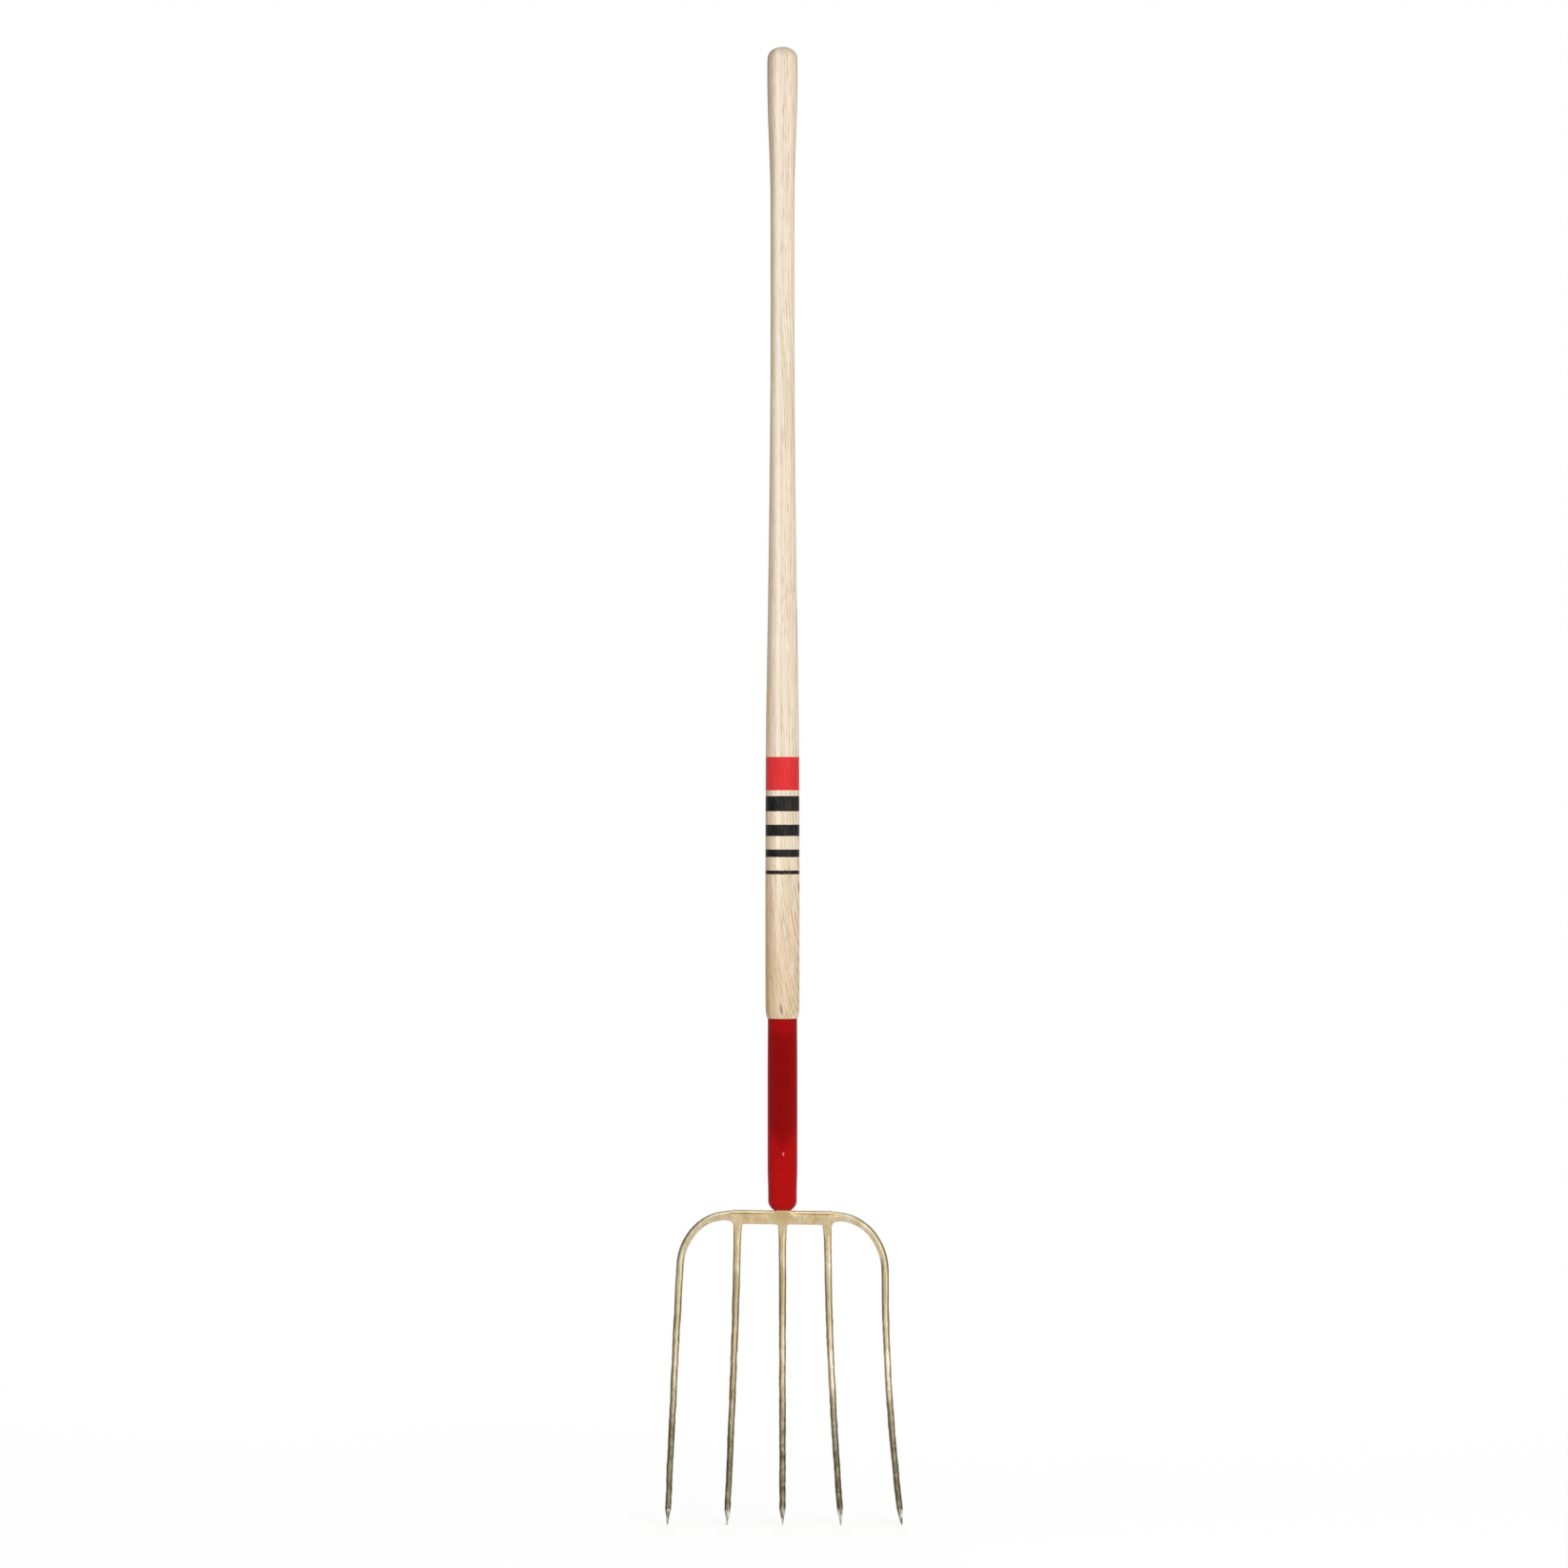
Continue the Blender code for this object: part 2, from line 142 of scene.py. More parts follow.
# The tines taper from a flattened section to a round one and end in square points. How far each one
# spreads, and how late it does so, differs, as the smith set each by eye.
TINE_PITCH = 0.0475
TINE_HALF_WIDTH = 0.0041
TINE_HALF_DEPTH = 0.0052
TINE_REACH = 0.3254
TINE_DISH = 0.0550
TINE_STATIONS = 88
TAPER_START = 0.030
TINE_END_SHARE = 0.81
FLAT_END = 0.072
FLAT_ROUNDNESS = 0.55
ROUND_START = 0.120
TINE_ROUNDNESS = 0.95
POINT_LENGTH = 0.0165
POINT_SHARE = 0.15
POINT_FACET = 0.92
POINT_FACET_FROM = 0.2
POINT_SQUARE_BY = 0.24
POINT_STATIONS = (0, 0.10, POINT_SQUARE_BY, 0.5, 0.75, 0.96, 1)
POINT_CREASE = 0.85
CREASED_STATIONS = 4
INNER_SPLAY = {-1: (0.0102, 1.3), 0: (0.0, 1.0), 1: (0.0134, 1.7)}
OUTER_SPLAY = {-1: (0.0121, 0.9), 1: (0.0164, 2.0)}

# The roots of the inner tines flare into the crosshead: distance towards the middle, distance below the
# crosshead as a share of the fillet, half width, half depth and roundness.
ROOT_HALF_WIDTH = 0.0053
ROOT_FILLET = 0.0045
ROOT_FLARE = [
    (0.0007, 0.35, 0.0048, 0.0059, 0.10),
    (0.0005, 1.30, 0.0045, 0.0056, 0.25),
    (0.0002, 2.70, 0.0043, 0.0054, 0.40),
]
ROOT_END = 0.014

# The bows leave the crosshead's ends level, a distance below the ferrule, and turn down a quarter of a
# slightly plump ellipse. Along their flare: distance out from the crosshead, distance up, half width, half
# depth and roundness. Then the sizes where the ellipse starts, and those that it goes from and to.
BOW_LEVEL = 0.0064
BOW_FLARE = [(0.0012, 0.0, 0.0060, 0.0059, 0.40), (0.0032, 0.0001, 0.0055, 0.0058, 0.65)]
BOW_ROOT_RISE = 0.0024
BOW_START = 0.0600
BOW_START_RISE = 0.0001
BOW_START_SIZE = (0.0049, 0.0056, 0.85)
BOW_HALF_WIDTH = 0.1075
BOW_FALL = 0.0560
BOW_PLUMPNESS = 0.0006
BOW_FIRST_SIZE = (0.0047, 0.0055)
BOW_LAST_SIZE = (TINE_HALF_WIDTH, 0.0053)

# Noise moves the surfaces by so much, with so many waves to the metre. Without a seed it differs each time.
# The hammer marks come in between two distances below the ferrule.
WAVER_SEED = 4
TURNING_WAVER = 0.00012
TURNING_WAVES = (40, 40, 9)
FORGING_WAVER = 0.00030
FORGING_WAVES = 45
HAMMER_WAVER = 0.00075
HAMMER_WAVES = 270
HAMMERED_FROM = 0.05
HAMMERED_BY = 0.13
# The left end of the crosshead sits higher than the right one. The tilt fades out down the tines.
HEAD_TILT = 0.011
TILT_FADES_FROM = 0.06
TILT_FADES_BY = 0.16

# ---- places, from the frame ----------------------------------------------------------------------

MOUNTS = {mount["name"]: mount for mount in frame["record"]["mounts"]}
UP_HEAD = Vector(MOUNTS["left_peg_seat"]["axis"])
SEAT = Vector(MOUNTS["left_peg_seat"]["pos_m"])
HEAD_TOP = Vector((0, SEAT.y, SEAT.z))
FERRULE_BOTTOM = HEAD_TOP + SEAT_DROP * UP_HEAD
ELBOW = HEAD_TOP - UP_HEAD * (HEAD_TOP.y / UP_HEAD.y)
RIVET_PLACE = (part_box("ferrule_rivet")[0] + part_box("ferrule_rivet")[1]) / 2
FERRULE_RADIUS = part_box("ferrule")[1].x
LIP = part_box("ferrule")[1].z
LIP_DOWN = -LIP
BEND_ANGLE = math.atan2(UP_HEAD.y, UP_HEAD.z)
BEND_TANGENT = (ELBOW - RIVET_PLACE).length
BEND_RADIUS = BEND_TANGENT / math.tan(BEND_ANGLE / 2)
BEND_START = -ELBOW.z - BEND_TANGENT
BEND_END = BEND_START + BEND_RADIUS * BEND_ANGLE
BOTTOM_DOWN = BEND_END + (FERRULE_BOTTOM - RIVET_PLACE).length
CROSSHEAD_HALF_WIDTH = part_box("crosshead")[1].x
HEAD = Matrix.Translation(FERRULE_BOTTOM) @ Matrix.Rotation(-BEND_ANGLE, 4, "X")


def spine(down):
    """The frame of the handle's centre line at a distance down from the grip, its z axis pointing up."""
    angle = min(max(down - BEND_START, 0), BEND_END - BEND_START) / BEND_RADIUS
    bent = Vector((0, -BEND_RADIUS * (1 - math.cos(angle)), -BEND_RADIUS * math.sin(angle)))
    straight = min(down, BEND_START)
    past = max(down - BEND_END, 0)
    point = Vector((0, 0, -straight)) + bent + past * Vector((0, -math.sin(angle), -math.cos(angle)))
    return Matrix.Translation(point) @ Matrix.Rotation(-angle, 4, "X")


def steps(start, end, count):
    """Evenly spaced values from start to end, both included."""
    return [start + (end - start) * i / count for i in range(count + 1)]


def blend(a, b, share):
    """From a to b as the share goes from 0 to 1."""
    return a + (b - a) * share


def ease(share):
    """A share kept between 0 and 1, with a soft start and a soft end."""
    share = min(max(share, 0), 1)
    return share * share * (3 - 2 * share)


# ---- mesh helpers --------------------------------------------------------------------------------


def sweep_ring(shape, rings, sides):
    """Draws a tube through (frame, radius) rings by extruding a circle, and returns its two end loops."""
    def fitted(ring):
        return ring[0] @ Matrix.Scale(ring[1], 4)

    circle = bmesh.ops.create_circle(shape, segments=sides, radius=1, matrix=fitted(rings[0]))
    first = last = list(dict.fromkeys(edge for vert in circle["verts"] for edge in vert.link_edges))
    for before, after in zip(rings, rings[1:]):
        made = bmesh.ops.extrude_edge_only(shape, edges=last)["geom"]
        verts = [item for item in made if isinstance(item, bmesh.types.BMVert)]
        bmesh.ops.transform(shape, matrix=fitted(after) @ fitted(before).inverted(), verts=verts)
        fresh = set(verts)
        last = [e for e in made if isinstance(e, bmesh.types.BMEdge) and fresh.issuperset(e.verts)]
    return first, last


def piece(name, shape, material, nodes, levels=0):
    """A finished piece that rides on the fork and stands for its CAD nodes."""
    bmesh.ops.recalc_face_normals(shape, faces=shape.faces)
    mesh = bpy.data.meshes.new(name)
    shape.to_mesh(mesh)
    shape.free()
    mesh.materials.append(material)
    mesh.shade_smooth()
    made = bpy.data.objects.new(name, mesh)
    bpy.context.scene.collection.objects.link(made)
    if levels:
        smooth = made.modifiers.new("smooth", "SUBSURF")
        smooth.levels = smooth.render_levels = levels
    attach(made, "root")
    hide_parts(*nodes)
    return made


# ---- handle --------------------------------------------------------------------------------------


def turned_rings():
    """(frame, radius) down the turned part of the handle, as the CAD node has it."""
    turned = {}
    for vertex in frame["nodes"]["handle"].data.vertices:
        height = round(vertex.co.z, 4)
        if height > LIP + SHOULDER[0][0]:
            turned[height] = max(turned.get(height, 0), math.hypot(vertex.co.x, vertex.co.y))
    return [(spine(-height), radius) for height, radius in sorted(turned.items(), reverse=True)]


def handle_rings():
    """(frame, radius) down the whole handle: its turned part, its shoulder, and the tenon in the ferrule."""
    tenon = FERRULE_RADIUS - FERRULE_WALL - FIT_GAP
    tenon_end = BOTTOM_DOWN - FERRULE_WALL - FERRULE_FLOOR_SPACE
    downs = [LIP_DOWN, LIP_DOWN + MM] + steps(BEND_START, BEND_END, 4) + [tenon_end - TENON_CORNER_UP]
    rings = turned_rings()
    rings += [(spine(LIP_DOWN - above), radius) for above, radius in SHOULDER]
    rings += [(spine(down), tenon) for down in downs]
    rings = [(place, radius * CAGE_SWELL) for place, radius in rings]
    rings.append((spine(tenon_end - TENON_END_ROUND), tenon - TENON_CORNER_IN / 2))
    rings.append((spine(tenon_end), tenon - TENON_CORNER_IN))
    return rings


def make_handle(material):
    """A turned shaft, closed at both ends, whose surface wavers a little as turned wood does."""
    shape = bmesh.new()
    top, bottom = sweep_ring(shape, handle_rings(), CAGE_SIDES)
    bmesh.ops.contextual_create(shape, geom=top)
    bmesh.ops.contextual_create(shape, geom=bottom)
    for vert in shape.verts:
        if vert.co.z > LIP + 4 * MM:
            drift = noise.noise_vector(vert.co * Vector(TURNING_WAVES))
            vert.co += Vector((drift.x, drift.y, 0)) * TURNING_WAVER
    return piece("ash_handle", shape, material, ["handle"], levels=2)


# ---- ferrule -------------------------------------------------------------------------------------


def corner(radius, bottom, mouth):
    """(down, radius) from a ferrule wall round its swaged lower corner to the hole in its floor."""
    arc = [
        (bottom - up, radius - CORNER_IN * (1 - up / CORNER_UP) ** CORNER_POWER)
        for up in steps(CORNER_UP, CORNER_ROUND, 14)
    ]
    return arc + [(bottom, arc[-1][1] - 2 * CORNER_ROUND), (bottom, mouth)]


def drawn_in(down):
    """How far the ferrule's wall is drawn in, at its lip and above its swaged corner."""
    lip = 1 - ease((down - LIP_DOWN) / LIP_TAPER)
    neck = ease((down - BOTTOM_DOWN + NECK_UP) / NECK_TAPER)
    return LIP_DRAWN_IN * lip + NECK_DRAWN_IN * neck


def make_ferrule(material):
    """A tube with a rounded lip, a bend and a swaged floor, drawn as one closed wall."""
    outer, inner = FERRULE_RADIUS, FERRULE_RADIUS - FERRULE_WALL
    mouth = TANG_RADIUS + FIT_GAP
    bend = steps(BEND_START, BEND_END, 14)
    tail = steps(BEND_END, BOTTOM_DOWN - CORNER_UP, 8)[1:-1]
    top = steps(LIP_DOWN + LIP_ROUND, BEND_START, 12)[:-1]
    lip = [
        (LIP_DOWN + LIP_ROUND * (1 - math.sin(a)), outer - LIP_ROUND * (1 - math.cos(a)))
        for a in steps(math.radians(90), math.radians(30), 3)
    ]
    walls = [(down, outer) for down in top + bend + tail] + corner(outer, BOTTOM_DOWN, mouth)
    inside = corner(inner, BOTTOM_DOWN - FERRULE_WALL, mouth)[::-1]
    inside += [(down, inner) for down in tail[::-1] + bend[::-1] + [LIP_DOWN + LIP_ROUND]]
    inside += [(LIP_DOWN, inner + LIP_ROUND)]
    rings = [(spine(down), radius - drawn_in(down)) for down, radius in lip + walls + inside]
    shape = bmesh.new()
    first, last = sweep_ring(shape, rings, FERRULE_SIDES)
    bmesh.ops.bridge_loops(shape, edges=first + last)
    dent(shape)
    return piece("red_ferrule", shape, material, ["ferrule"])


def dent(shape):
    """Presses the wall in a little round each end of the rivet, as peening does."""
    for side in (-1, 1):
        pin_end = spine(BEND_END) @ Vector((0, side * FERRULE_RADIUS, 0))
        inwards = (RIVET_PLACE - pin_end).normalized()
        for vert in shape.verts:
            share = (vert.co - pin_end).length / DENT_SPREAD
            vert.co += inwards * DENT_DEPTH * math.exp(-share * share)


# ---- rivet ---------------------------------------------------------------------------------------


def make_rivet(material):
    """A pin with a peened dome at each end, laid front to back through the ferrule."""
    half = FERRULE_RADIUS - DENT_DEPTH
    dome = [
        (RIVET_HEAD_RADIUS * math.cos(a), half + RIVET_HEAD_HEIGHT * math.sin(a))
        for a in steps(math.radians(8), math.radians(88), 6)
    ]
    rim = [(RIVET_HEAD_RADIUS - RIVET_RIM_IN, half - RIVET_RIM_SINK), (RIVET_RADIUS, half)]
    profile = dome[::-1] + rim
    profile += [(radius, -height) for radius, height in profile[::-1]]
    shape = bmesh.new()
    rings = [(Matrix.Translation((0, 0, height)), radius) for radius, height in profile]
    top, bottom = sweep_ring(shape, rings, RIVET_SIDES)
    bmesh.ops.contextual_create(shape, geom=top)
    bmesh.ops.contextual_create(shape, geom=bottom)
    place = spine(BEND_END) @ Matrix.Rotation(math.pi / 2, 4, "X")
    bmesh.ops.transform(shape, matrix=place, verts=shape.verts)
    return piece("ferrule_pin", shape, material, ["ferrule_rivet"])


# ---- head ----------------------------------------------------------------------------------------
#
# A station is a place along a tine, a bow or the tang: its middle, and the half width, half depth and
# roundness of the section there.


def dished(x, below):
    """A point of a tine at x, a distance below the ferrule, on the head's hollow."""
    return Vector((x, -TINE_DISH * (below / TINE_REACH) ** 2, -below))


def tine_size(below):
    """A tine's half width, half depth and roundness, a distance below the ferrule."""
    point = TINE_REACH - POINT_LENGTH
    share = (below - point) / POINT_LENGTH
    if share > 0:
        size = blend(TINE_END_SHARE, POINT_SHARE, share) * (POINT_FACET if share > POINT_FACET_FROM else 1)
        roundness = blend(TINE_ROUNDNESS, 0, ease(share / POINT_SQUARE_BY))
    else:
        size = blend(1, TINE_END_SHARE, max(below - TAPER_START, 0) / (point - TAPER_START))
        rounded = ease((below - FLAT_END) / (ROUND_START - FLAT_END))
        roundness = blend(FLAT_ROUNDNESS, TINE_ROUNDNESS, rounded)
    return TINE_HALF_WIDTH * size, TINE_HALF_DEPTH * size, roundness


def leg(x, side, splay, start, first):
    """Stations down a tine to its point. It is straight down at x to its start, and spreads from there."""
    spread, power = splay
    point = TINE_REACH - POINT_LENGTH
    belows = [b for b in steps(TAPER_START, point - 3 * MM, TINE_STATIONS) if b > first]
    belows += [point + share * POINT_LENGTH for share in POINT_STATIONS]
    stations = []
    for below in belows:
        share = max(below - start, 0) / (TINE_REACH - start)
        stations.append((dished(x + side * spread * share**power, below), *tine_size(below)))
    return stations


def inner_stations(side):
    """Down an inner or centre tine, from the crosshead's floor; side is 0 at the centre."""
    floor = CROSSHEAD_DROP + CROSSHEAD_HEIGHT
    x = side * TINE_PITCH
    stations = [(Vector((x, 0, -floor)), ROOT_HALF_WIDTH, CROSSHEAD_DEPTH / 2, 0.0)]
    for inwards, share, *size in ROOT_FLARE:
        stations.append((Vector((x - side * inwards, 0, -floor - share * ROOT_FILLET)), *size))
    return stations + leg(x, side, INNER_SPLAY[side], floor + ROOT_END, floor + ROOT_END + 4 * MM)


def outer_stations(side):
    """Out along a bow from the crosshead's end, round, and down the outer tine."""
    middle = CROSSHEAD_DROP + CROSSHEAD_HEIGHT / 2
    root = [(CROSSHEAD_HALF_WIDTH, middle, CROSSHEAD_HEIGHT / 2, CROSSHEAD_DEPTH / 2, 0.0)]
    root += [(CROSSHEAD_HALF_WIDTH + out, BOW_LEVEL - rise, *size) for out, rise, *size in BOW_FLARE]
    root.append((BOW_START, BOW_LEVEL - BOW_START_RISE, *BOW_START_SIZE))
    for angle in steps(math.radians(6), math.radians(90), 18):
        out = BOW_START + (BOW_HALF_WIDTH - BOW_START) * math.sin(angle)
        below = BOW_LEVEL + BOW_FALL * (1 - math.cos(angle)) + BOW_PLUMPNESS * math.sin(2 * angle)
        slim = ease(angle / math.radians(40))
        size = [blend(first, last, slim) for first, last in zip(BOW_FIRST_SIZE, BOW_LAST_SIZE)]
        root.append((out, below, *size, TINE_ROUNDNESS))
    stations = [(dished(side * out, below), *size) for out, below, *size in root]
    start = BOW_LEVEL + BOW_FALL
    return stations + leg(side * BOW_HALF_WIDTH, side, OUTER_SPLAY[side], start, start + 4 * MM)


def neck_stations():
    """Up from the crosshead's top through the collar, and along the tang inside the ferrule."""
    stations = [(Vector((0, 0, -CROSSHEAD_DROP)), COLLAR_HALF_WIDTH, CROSSHEAD_DEPTH / 2, 0.0)]
    stations += [(Vector((0, 0, level)), *size) for level, *size in COLLAR_STEPS]
    stations.append((Vector((0, 0, 0)), TANG_RADIUS, TANG_RADIUS, 1.0))
    for share in steps(0.05, 1, 6):
        radius = blend(TANG_RADIUS, TANG_TIP_RADIUS, share)
        place = HEAD.inverted() @ spine(BOTTOM_DOWN - TANG_LENGTH * share).translation
        stations.append((place, radius, radius, 1.0))
    return stations


def section_axes(stations, index):
    """The width and depth axes of a section square to the path."""
    after = stations[min(index + 1, len(stations) - 1)][0]
    along = (after - stations[index - 1][0]).normalized()
    depth = Vector((0, 1, 0))
    depth = (depth - along * depth.dot(along)).normalized()
    return along.cross(depth), depth


def outward(place, roundness):
    """Where a line runs across a section: the edges at 1, the lines beside them further in when round."""
    if abs(place) > AT_EDGE:
        return math.copysign(1, place)
    return math.copysign(blend(FLAT_LINE, ROUND_LINE, min(2 * roundness, 1)), place)


def draw_out(shape, faces, stations, creased=0):
    """Draws a patch of three by three faces out of the crosshead, through its stations.

    Each vertex of the patch is known by where it lies across the section, from -1 to 1 each way. A round
    section moves those places onto a circle. The last few sections keep their four corners sharp.
    """
    width, depth = (shape.verts.layers.float[name] for name in ("width", "depth"))
    middle, half_width, half_depth, _ = stations[0]
    across = faces[0].normal.cross(Vector((0, 1, 0)))
    for vert in {v for face in faces for v in face.verts}:
        vert[width] = (vert.co - middle).dot(across) / half_width
        vert[depth] = (vert.co.y - middle.y) / half_depth
    for index in range(1, len(stations)):
        made = bmesh.ops.extrude_face_region(shape, geom=faces)["geom"]
        bmesh.ops.delete(shape, geom=faces, context="FACES_KEEP_BOUNDARY")
        faces = [item for item in made if isinstance(item, bmesh.types.BMFace)]
        verts = {item for item in made if isinstance(item, bmesh.types.BMVert)}
        across, deep = section_axes(stations, index)
        middle, half_width, half_depth, roundness = stations[index]
        swell = 1 + SECTION_SWELL * roundness
        for vert in verts:
            u, v = (outward(vert[layer], roundness) for layer in (width, depth))
            u, v = (
                swell * blend(u, u * math.sqrt(1 - v * v / 2), roundness),
                swell * blend(v, v * math.sqrt(1 - u * u / 2), roundness),
            )
            vert.co = middle + across * u * half_width + deep * v * half_depth
        if index >= len(stations) - creased:
            corners = {vert for vert in verts if min(abs(vert[width]), abs(vert[depth])) > AT_EDGE}
            crease(shape, corners, verts)


def crease(shape, corners, section):
    """Keeps the edges that run from a section's corners back along the piece sharp."""
    sharpness = shape.edges.layers.float["crease_edge"]
    for vert in corners:
        for edge in vert.link_edges:
            if edge.other_vert(vert) not in section:
                edge[sharpness] = POINT_CREASE


def patch(shape, axis, level, low, high):
    """The bar's faces that lie at a level along an axis, with their middles between low and high along x."""
    floor = -CROSSHEAD_DROP - CROSSHEAD_HEIGHT
    return [
        face for face in shape.faces
        if abs(face.normal[axis]) > 0.9
        and abs(face.calc_center_median()[axis] - level) < TOLERANCE
        and low < face.calc_center_median().x < high
        and face.calc_center_median().z > floor - TOLERANCE
    ]


def crosshead():
    """A bar cut by planes into the patches that the tines, the bows and the neck are drawn out of."""
    shape = bmesh.new()
    size = Vector((2 * CROSSHEAD_HALF_WIDTH, CROSSHEAD_DEPTH, CROSSHEAD_HEIGHT))
    middle = Vector((0, 0, -CROSSHEAD_DROP - CROSSHEAD_HEIGHT / 2))
    bmesh.ops.create_cube(shape, size=1, matrix=Matrix.Translation(middle) @ Matrix.Diagonal((*size, 1)))
    # Across: lines beside the edges of the roots, the edges themselves, where the fillets run out, and one
    # between the roots.
    line = ROOT_HALF_WIDTH * BAR_LINE
    places = [line, ROOT_HALF_WIDTH, COLLAR_HALF_WIDTH, COLLAR_FOOT, TINE_PITCH / 2 + 3 * MM]
    places += [TINE_PITCH - ROOT_HALF_WIDTH - ROOT_FILLET, TINE_PITCH - ROOT_HALF_WIDTH]
    places += [TINE_PITCH - line, TINE_PITCH + line]
    cuts = [(Vector((side * x, 0, 0)), Vector((1, 0, 0))) for x in places for side in (-1, 1)]
    for side in (-1, 1):
        cuts.append((Vector((0, side * BAR_LINE * CROSSHEAD_DEPTH / 2, 0)), Vector((0, 1, 0))))
        cuts.append((middle + Vector((0, 0, side * BAR_LINE * CROSSHEAD_HEIGHT / 2)), Vector((0, 0, 1))))
    for point, normal in cuts:
        everything = shape.verts[:] + shape.edges[:] + shape.faces[:]
        bmesh.ops.bisect_plane(shape, geom=everything, dist=TOLERANCE, plane_co=point, plane_no=normal)
    shape.normal_update()
    ease_edges(shape, middle.z)
    return shape


def ease_edges(shape, middle):
    """Rounds the crosshead's long edges, the upper ones more, where no tine or neck carries on from them."""
    for vert in shape.verts:
        x = abs(vert.co.x)
        at_face = abs(vert.co.y) > 0.9 * CROSSHEAD_DEPTH / 2
        level = (vert.co.z - middle) / (CROSSHEAD_HEIGHT / 2)
        beside_collar = x > COLLAR_HALF_WIDTH + 0.1 * MM
        on_tine = min(x, abs(x - TINE_PITCH)) < ROOT_HALF_WIDTH + 0.1 * MM
        if at_face and level > 0.9 and beside_collar:
            vert.co.y *= TOP_EDGE_IN
            vert.co.z -= TOP_EDGE_DOWN
        elif at_face and 0 < level < 0.9:
            vert.co.z -= TOP_LINE_DOWN
        elif at_face and level < -0.9 and not on_tine:
            vert.co.y *= FLOOR_EDGE_IN
            vert.co.z += FLOOR_EDGE_UP


def waver(shape):
    """Makes a forging uneven: its lines drift, its tines show hammer marks, and its crosshead is tilted."""
    for vert in shape.verts:
        if vert.co.z < -CROSSHEAD_DROP + 0.1 * MM:
            hammered = ease((-vert.co.z - HAMMERED_FROM) / (HAMMERED_BY - HAMMERED_FROM))
            drift = noise.noise_vector(vert.co * FORGING_WAVES)
            marks = noise.noise_vector(vert.co * HAMMER_WAVES) * hammered
            vert.co += Vector((drift.x, drift.y, drift.z / 2)) * FORGING_WAVER
            vert.co += Vector((marks.x, marks.y, 0)) * HAMMER_WAVER
            tilted = ease((vert.co.z + TILT_FADES_BY) / (TILT_FADES_BY - TILT_FADES_FROM))
            vert.co.z -= HEAD_TILT * vert.co.x * tilted


def make_head(material):
    """The whole forging: tines, bows and neck drawn out of the crosshead, and set in the ferrule."""
    shape = crosshead()
    shape.verts.layers.float.new("width")
    shape.verts.layers.float.new("depth")
    shape.edges.layers.float.new("crease_edge")
    top, floor = -CROSSHEAD_DROP, -CROSSHEAD_DROP - CROSSHEAD_HEIGHT
    for side in (-1, 0, 1):
        x = side * TINE_PITCH
        roots = patch(shape, 2, floor, x - ROOT_HALF_WIDTH, x + ROOT_HALF_WIDTH)
        draw_out(shape, roots, inner_stations(side), creased=CREASED_STATIONS)
    # The crosshead's floor rises a little to the root of each bow.
    for side in (-1, 1):
        end = patch(shape, 0, side * CROSSHEAD_HALF_WIDTH, -1, 1)
        for vert in {vert for face in end for vert in face.verts}:
            vert.co.z = max(vert.co.z, floor + BOW_ROOT_RISE)
        draw_out(shape, end, outer_stations(side), creased=CREASED_STATIONS)
    collar = patch(shape, 2, top, -COLLAR_HALF_WIDTH, COLLAR_HALF_WIDTH)
    draw_out(shape, collar, neck_stations())
    waver(shape)
    bmesh.ops.transform(shape, matrix=HEAD, verts=shape.verts)
    nodes = ["crosshead", "centre_tine"]
    nodes += [f"{side}_{place}_tine" for side in ("left", "right") for place in ("inner", "outer")]
    return piece("forged_head", shape, material, nodes, levels=1)


# ---- materials -----------------------------------------------------------------------------------

# The two ways in which a ramp rises: with soft ends, or evenly.
SOFT = {"interpolation_type": "SMOOTHSTEP"}
EVEN = {"interpolation_type": "LINEAR"}


def colour(text):
    """A linear colour with alpha, from sRGB hex digits."""
    shares = [int(text[i:i + 2], 16) / 255 for i in (0, 2, 4)]
    return (*[s / 12.92 if s <= 0.04045 else ((s + 0.055) / 1.055) ** 2.4 for s in shares], 1)


def feed(tree, node, values):
    """Gives a node's inputs, known by place or by name, their values or the results of other nodes."""
    sockets = [socket for socket in node.inputs if socket.enabled]
    for key, value in values.items():
        socket = sockets[key] if isinstance(key, int) else next(s for s in sockets if s.name == key)
        if isinstance(value, bpy.types.Node):
            value = next(output for output in value.outputs if output.enabled)
        if isinstance(value, bpy.types.NodeSocket):
            tree.links.new(value, socket)
        else:
            socket.default_value = value


def add(tree, kind, values=None, **settings):
    """Adds a node with its settings and feeds its inputs."""
    made = tree.nodes.new("ShaderNode" + kind)
    for name, value in settings.items():
        setattr(made, name, value)
    feed(tree, made, values or {})
    return made


def rate(size):
    """The scale of a pattern whose cells are a number of millimetres across."""
    return 1 / (size * MM)


def stretched_noise(tree, place, sizes, detail, shift=(0, 0, 0)):
    """Noise whose cells are a number of millimetres long along x, y and z."""
    mapped = add(tree, "Mapping", {
        "Vector": place, "Location": shift, "Scale": [rate(size) for size in sizes]})
    return add(tree, "TexNoise", {"Vector": mapped, "Scale": 1.0, "Detail": detail})


def distance(tree, place, spot, stretch, lean=0):
    """How far places are from a spot that is stretched along x, y and z and leans over about y."""
    near = add(tree, "Mapping", {
        "Vector": place, "Location": spot, "Rotation": (0, lean, 0), "Scale": stretch},
        vector_type="TEXTURE")
    return add(tree, "VectorMath", {0: near}, operation="LENGTH").outputs["Value"]


def stain(tree, base, tint, pattern, start, end, most=1.0, ramp=SOFT, blend_type="MIX"):
    """Lays a tint over a base colour as a pattern goes from a start to an end, at most so strongly."""
    share = add(tree, "MapRange", {
        "Value": pattern, "From Min": start, "From Max": end, "To Max": most}, **ramp)
    return add(tree, "Mix", {0: share, 1: base, 2: colour(tint)}, data_type="RGBA", blend_type=blend_type)


